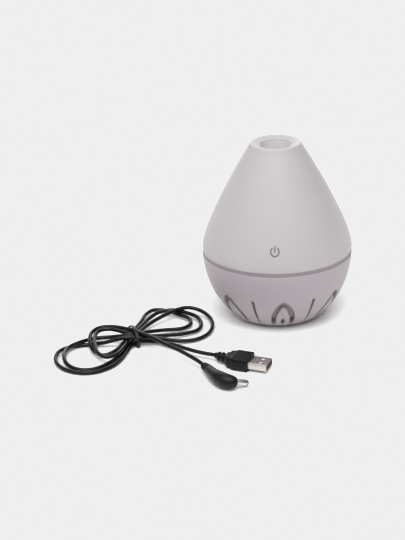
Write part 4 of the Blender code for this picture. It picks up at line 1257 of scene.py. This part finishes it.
class HUMIDIFIER_OT_tie(bpy.types.Operator):
    """Models the tie that binds the loops, closed around them"""

    bl_idname = "humidifier.tie"
    bl_label = "Tie"

    def execute(self, context):
        looped = TIE_OUTLINE[-2:] + TIE_OUTLINE + TIE_OUTLINE[:2]
        per_leg = 6
        curve = smooth_curve([(reach, height, 0.0) for reach, height in looped], per_leg)
        curve = curve[2 * per_leg:-3 * per_leg - 1]
        aside = Vector((-TIE_RUN.y, TIE_RUN.x, 0.0))
        points = []
        rows = []
        for index, here in enumerate(curve):
            run = (curve[(index + 1) % len(curve)] - curve[index - 1]).normalized()
            outward = Vector((run.y, -run.x))
            rows.append([])
            for side, out in rounded_section(TIE_WIDTH, TIE_THICKNESS, 0.3, 3):
                flat = Vector((here.x, here.y)) + outward * out
                place = TIE_CENTRE + TIE_RUN * flat.x + aside * side
                place.z = max(flat.y, 0.1)
                rows[-1].append(len(points))
                points.append(place)
        strip = piece_from("tie_strip", points, skin(rows, loop=True), tie_plastic(), sharp=60.0)
        stand(strip, "root", "black_plastic", "cable_tie")
        return {"FINISHED"}


# ---- Underside, socket and inner works ----

class HUMIDIFIER_OT_underside(bpy.types.Operator):
    """Models the four feet and the four base screws with their cross recesses"""

    bl_idname = "humidifier.underside"
    bl_label = "Feet and base screws"

    def execute(self, context):
        for number in range(1, 5):
            node = f"foot_{number}"
            low, high = box_mm(node)
            centre = middle_mm(node)
            radius = (high.x - low.x) / 2
            foot = [(0.0, low.z), (radius - 1.0, low.z), (radius - 0.5, low.z + 0.12)]
            foot += [(radius, low.z + 0.6), (radius, high.z), (0.0, high.z)]
            pad = turned_piece(f"rubber_foot_{number}", foot, black_rubber(), 48, (centre.x, centre.y))
            stand(pad, "root", "black_rubber", node)

            node = f"base_screw_{number}"
            low, high = box_mm(node)
            centre = middle_mm(node)
            head = [(0.0, 0.5), (1.5, 0.52), (2.2, 0.75), (2.6, 1.3), (2.6, 1.9), (1.2, 1.9)]
            head += [(1.2, high.z), (0.0, high.z)]
            screw = turned_piece(f"pan_screw_{number}", head, zinc_steel(), 40, (centre.x, centre.y))
            for turn in (0.0, math.pi / 2):
                slot = [
                    (centre.xy.to_3d() + Vector((0.0, 0.0, 0.55)) + heading(turn) * reach, heading(turn),
                     rounded_section(0.55, 1.3, 0.05, 1))
                    for reach in (-1.3, 1.3)
                ]
                cut(screw, *lofted(slot))
            stand(screw, "root", "steel", node)
        return {"FINISHED"}


class HUMIDIFIER_OT_socket(bpy.types.Operator):
    """Models the supply socket: a block on the board, and a bored nose with its centre pin"""

    bl_idname = "humidifier.socket"
    bl_label = "Supply socket"

    def execute(self, context):
        outward = heading(math.radians(SOCKET_ANGLE))
        base = Vector((0.0, 0.0, SOCKET_HEIGHT))
        block = along_axis(base, outward, [(21.0, 8.0, 7.0, 0.5), (29.6, 8.0, 7.0, 0.5)])
        socket = piece_from("barrel_socket", *lofted(block), black_moulding())
        cut(socket, *lofted(rod(base, outward, 29.0, 41.0, 3.1)), "UNION")
        cut(socket, *lofted(rod(base, outward, 32.0, 45.0, 1.95)))
        soften(socket, 0.15, 2, 40.0)
        stand(socket, "root", "black_plastic", "supply_socket")
        pin = piece_from("socket_pin", *lofted(rod(base, outward, 31.8, 40.0, 0.5)), bare_brass())
        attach(soften(pin, 0.12, 2, 40.0), "root")
        return {"FINISHED"}


INNER_FINISHES = {
    "water_tank": tank_plastic, "air_duct": seam_plastic, "bottom_cover": shaded_bowl_plastic,
    "control_board": circuit_board, "driver_chip": black_moulding, "boost_coil": black_moulding,
    "smoothing_capacitor": zinc_steel, "fan_housing": black_moulding, "fan_rotor": black_moulding,
    "fan_shaft": zinc_steel, "fan_bearing": bare_brass, "ultrasonic_disc": bare_brass, "disc_seal": silicone,
    "disc_retainer": zinc_steel, "tank_gasket": silicone, "touch_pad": bare_brass,
    "board_screw": zinc_steel, "retainer_screw": zinc_steel, "mood_lamp": lamp_lens,
}


class HUMIDIFIER_OT_inner_works(bpy.types.Operator):
    """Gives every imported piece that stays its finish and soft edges"""

    bl_idname = "humidifier.inner_works"
    bl_label = "Inner works"

    def execute(self, context):
        for name, thing in sorted(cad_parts.items()):
            if thing.hide_render:
                continue
            kind = name if name in INNER_FINISHES else name.rstrip("0123456789").rstrip("_")
            finish = INNER_FINISHES[kind]()
            thing.data.materials.clear()
            thing.data.materials.append(finish)
            thing.data.shade_smooth()
            weld = thing.modifiers.new("weld", "WELD")
            weld.merge_threshold = 0.000002
            soften(thing, 0.12, 2, 30.0)
        return {"FINISHED"}


# ---- Studio ----

# The camera's place in millimetres, and its angles in degrees
CAMERA_PLACE = Vector((27.9, -939.8, 424.2))
CAMERA_BEARING = 94.9
CAMERA_DIP = 22.65
CAMERA_ROLL = 2.02


class HUMIDIFIER_OT_camera(bpy.types.Operator):
    """Stands the camera in front of the humidifier, looking down at it"""

    bl_idname = "humidifier.camera"
    bl_label = "Camera"

    def execute(self, context):
        data = bpy.data.cameras.new("camera")
        data.sensor_width = 36.0
        data.lens = context.scene.humidifier_studio.lens
        data.clip_start = 0.05
        data.clip_end = 30.0
        camera = bpy.data.objects.new("camera", data)
        context.scene.collection.objects.link(camera)
        camera.location = CAMERA_PLACE * MM
        bearing = math.radians(CAMERA_BEARING)
        roll = math.radians(CAMERA_ROLL)
        forward = heading(bearing, math.radians(CAMERA_DIP))
        level = Vector((math.sin(bearing), -math.cos(bearing), 0.0))
        upright = level.cross(forward)
        right = level * math.cos(roll) - upright * math.sin(roll)
        up = upright * math.cos(roll) + level * math.sin(roll)
        camera.rotation_euler = Matrix((right, up, -forward)).transposed().to_euler()
        context.scene.camera = camera
        return {"FINISHED"}


# White lights in the studio's dome: bearing and height in degrees, sharpness and strength. The first is a
# soft key from the front, the second a small sharp one inside it. The strengths come from a least-squares
# fit; the key was then split in two, and all were scaled alike.
DOME_LIGHTS = [
    (270.0, 60.0, 12.0, 2.69), (270.0, 68.0, 100.0, 11.52), (225.0, 60.0, 12.0, 2.06),
    (315.0, 60.0, 12.0, 2.59), (0.0, 90.0, 8.0, 1.02), (90.0, 32.0, 14.0, 2.34),
    (180.0, 32.0, 14.0, 0.73), (210.0, 32.0, 14.0, 0.38), (75.0, 8.0, 16.0, 0.92),
    (105.0, 8.0, 16.0, 1.69), (135.0, 8.0, 16.0, 0.64),
]


class HUMIDIFIER_OT_studio(bpy.types.Operator):
    """Lays the pale floor and lights the studio with a soft dome"""

    bl_idname = "humidifier.studio"
    bl_label = "Floor and light"

    def execute(self, context):
        side = np.linspace(-6000.0, 6000.0, 13)
        points = [(x, y, 0.0) for y in side for x in side]
        rows = np.arange(len(points)).reshape(len(side), len(side)).tolist()
        faces = [face for row, after in zip(rows, rows[1:]) for face in band(row, after, closed=False)]
        piece_from("studio_floor", points, faces, floor_paper())
        self.light(context.scene)
        self.print_white(context.scene)
        return {"FINISHED"}

    def print_white(self, scene):
        """Everything as bright as the lit floor prints as the same pale white."""
        view = scene.view_settings
        view.view_transform = "Standard"
        view.use_curve_mapping = True
        view.curve_mapping.extend = "HORIZONTAL"
        view.curve_mapping.curves[3].points[-1].location = (1.0, scene.humidifier_studio.white)
        view.curve_mapping.update()

    def light(self, scene):
        """A dome of soft lobes; what the camera sees of it is an even pale backdrop."""
        settings = scene.humidifier_studio
        world = bpy.data.worlds.new("studio dome")
        scene.world = world
        tree = NodeTree(world)
        direction = tree.place()
        level = 0.0
        for bearing, height, sharpness, strength in DOME_LIGHTS:
            towards = heading(math.radians(bearing), -math.radians(height))
            facing = tree.add(
                "ShaderNodeVectorMath", {"operation": "DOT_PRODUCT"},
                {0: direction, 1: towards}, output="Value",
            )
            falloff = (facing - 1.0) * sharpness
            level = falloff.math("EXPONENT", falloff) * strength + level
        colour = tree.add("ShaderNodeCombineColor", None, {0: level, 1: level, 2: level})
        dome = tree.add("ShaderNodeBackground", None, {"Color": colour, "Strength": settings.light})
        pale = solid([settings.backdrop] * 3)
        even = tree.add("ShaderNodeBackground", None, {"Color": pale, "Strength": 1.0})
        seen = tree.add("ShaderNodeLightPath", output="Is Camera Ray")
        both = tree.add("ShaderNodeMixShader", None, {0: seen, 1: dome, 2: even})
        tree.feed(tree.nodes["World Output"], {"Surface": both})


class HUMIDIFIER_PT_steps(bpy.types.Panel):
    """Lists the steps that build the humidifier"""

    bl_idname = "HUMIDIFIER_PT_steps"
    bl_label = "Humidifier"
    bl_space_type = "VIEW_3D"
    bl_region_type = "UI"
    bl_category = "Humidifier"

    def draw(self, context):
        for group in ("humidifier_sizes", "humidifier_colours", "humidifier_studio"):
            settings = getattr(context.scene, group)
            for name in settings.__annotations__:
                self.layout.prop(settings, name)
        for step in STEPS:
            self.layout.operator(step.bl_idname)


STEPS = [
    HUMIDIFIER_OT_camera, HUMIDIFIER_OT_lead, HUMIDIFIER_OT_usb_plug, HUMIDIFIER_OT_barrel_plug,
    HUMIDIFIER_OT_tie, HUMIDIFIER_OT_bowl, HUMIDIFIER_OT_seam_ring, HUMIDIFIER_OT_cover,
    HUMIDIFIER_OT_power_mark, HUMIDIFIER_OT_underside, HUMIDIFIER_OT_socket, HUMIDIFIER_OT_inner_works,
    HUMIDIFIER_OT_studio,
]
GROUPS = {
    "humidifier_sizes": HumidifierSizes,
    "humidifier_colours": HumidifierColours,
    "humidifier_studio": StudioSettings,
}


def register():
    for cls in (*GROUPS.values(), *STEPS, HUMIDIFIER_PT_steps):
        bpy.utils.register_class(cls)
    for name, group in GROUPS.items():
        setattr(bpy.types.Scene, name, PointerProperty(type=group))


def unregister():
    for name in GROUPS:
        delattr(bpy.types.Scene, name)
    for cls in reversed((*GROUPS.values(), *STEPS, HUMIDIFIER_PT_steps)):
        bpy.utils.unregister_class(cls)


def main():
    register()
    for step in STEPS:
        group, name = step.bl_idname.split(".")
        getattr(getattr(bpy.ops, group), name)()


if __name__ == "__main__":
    main()
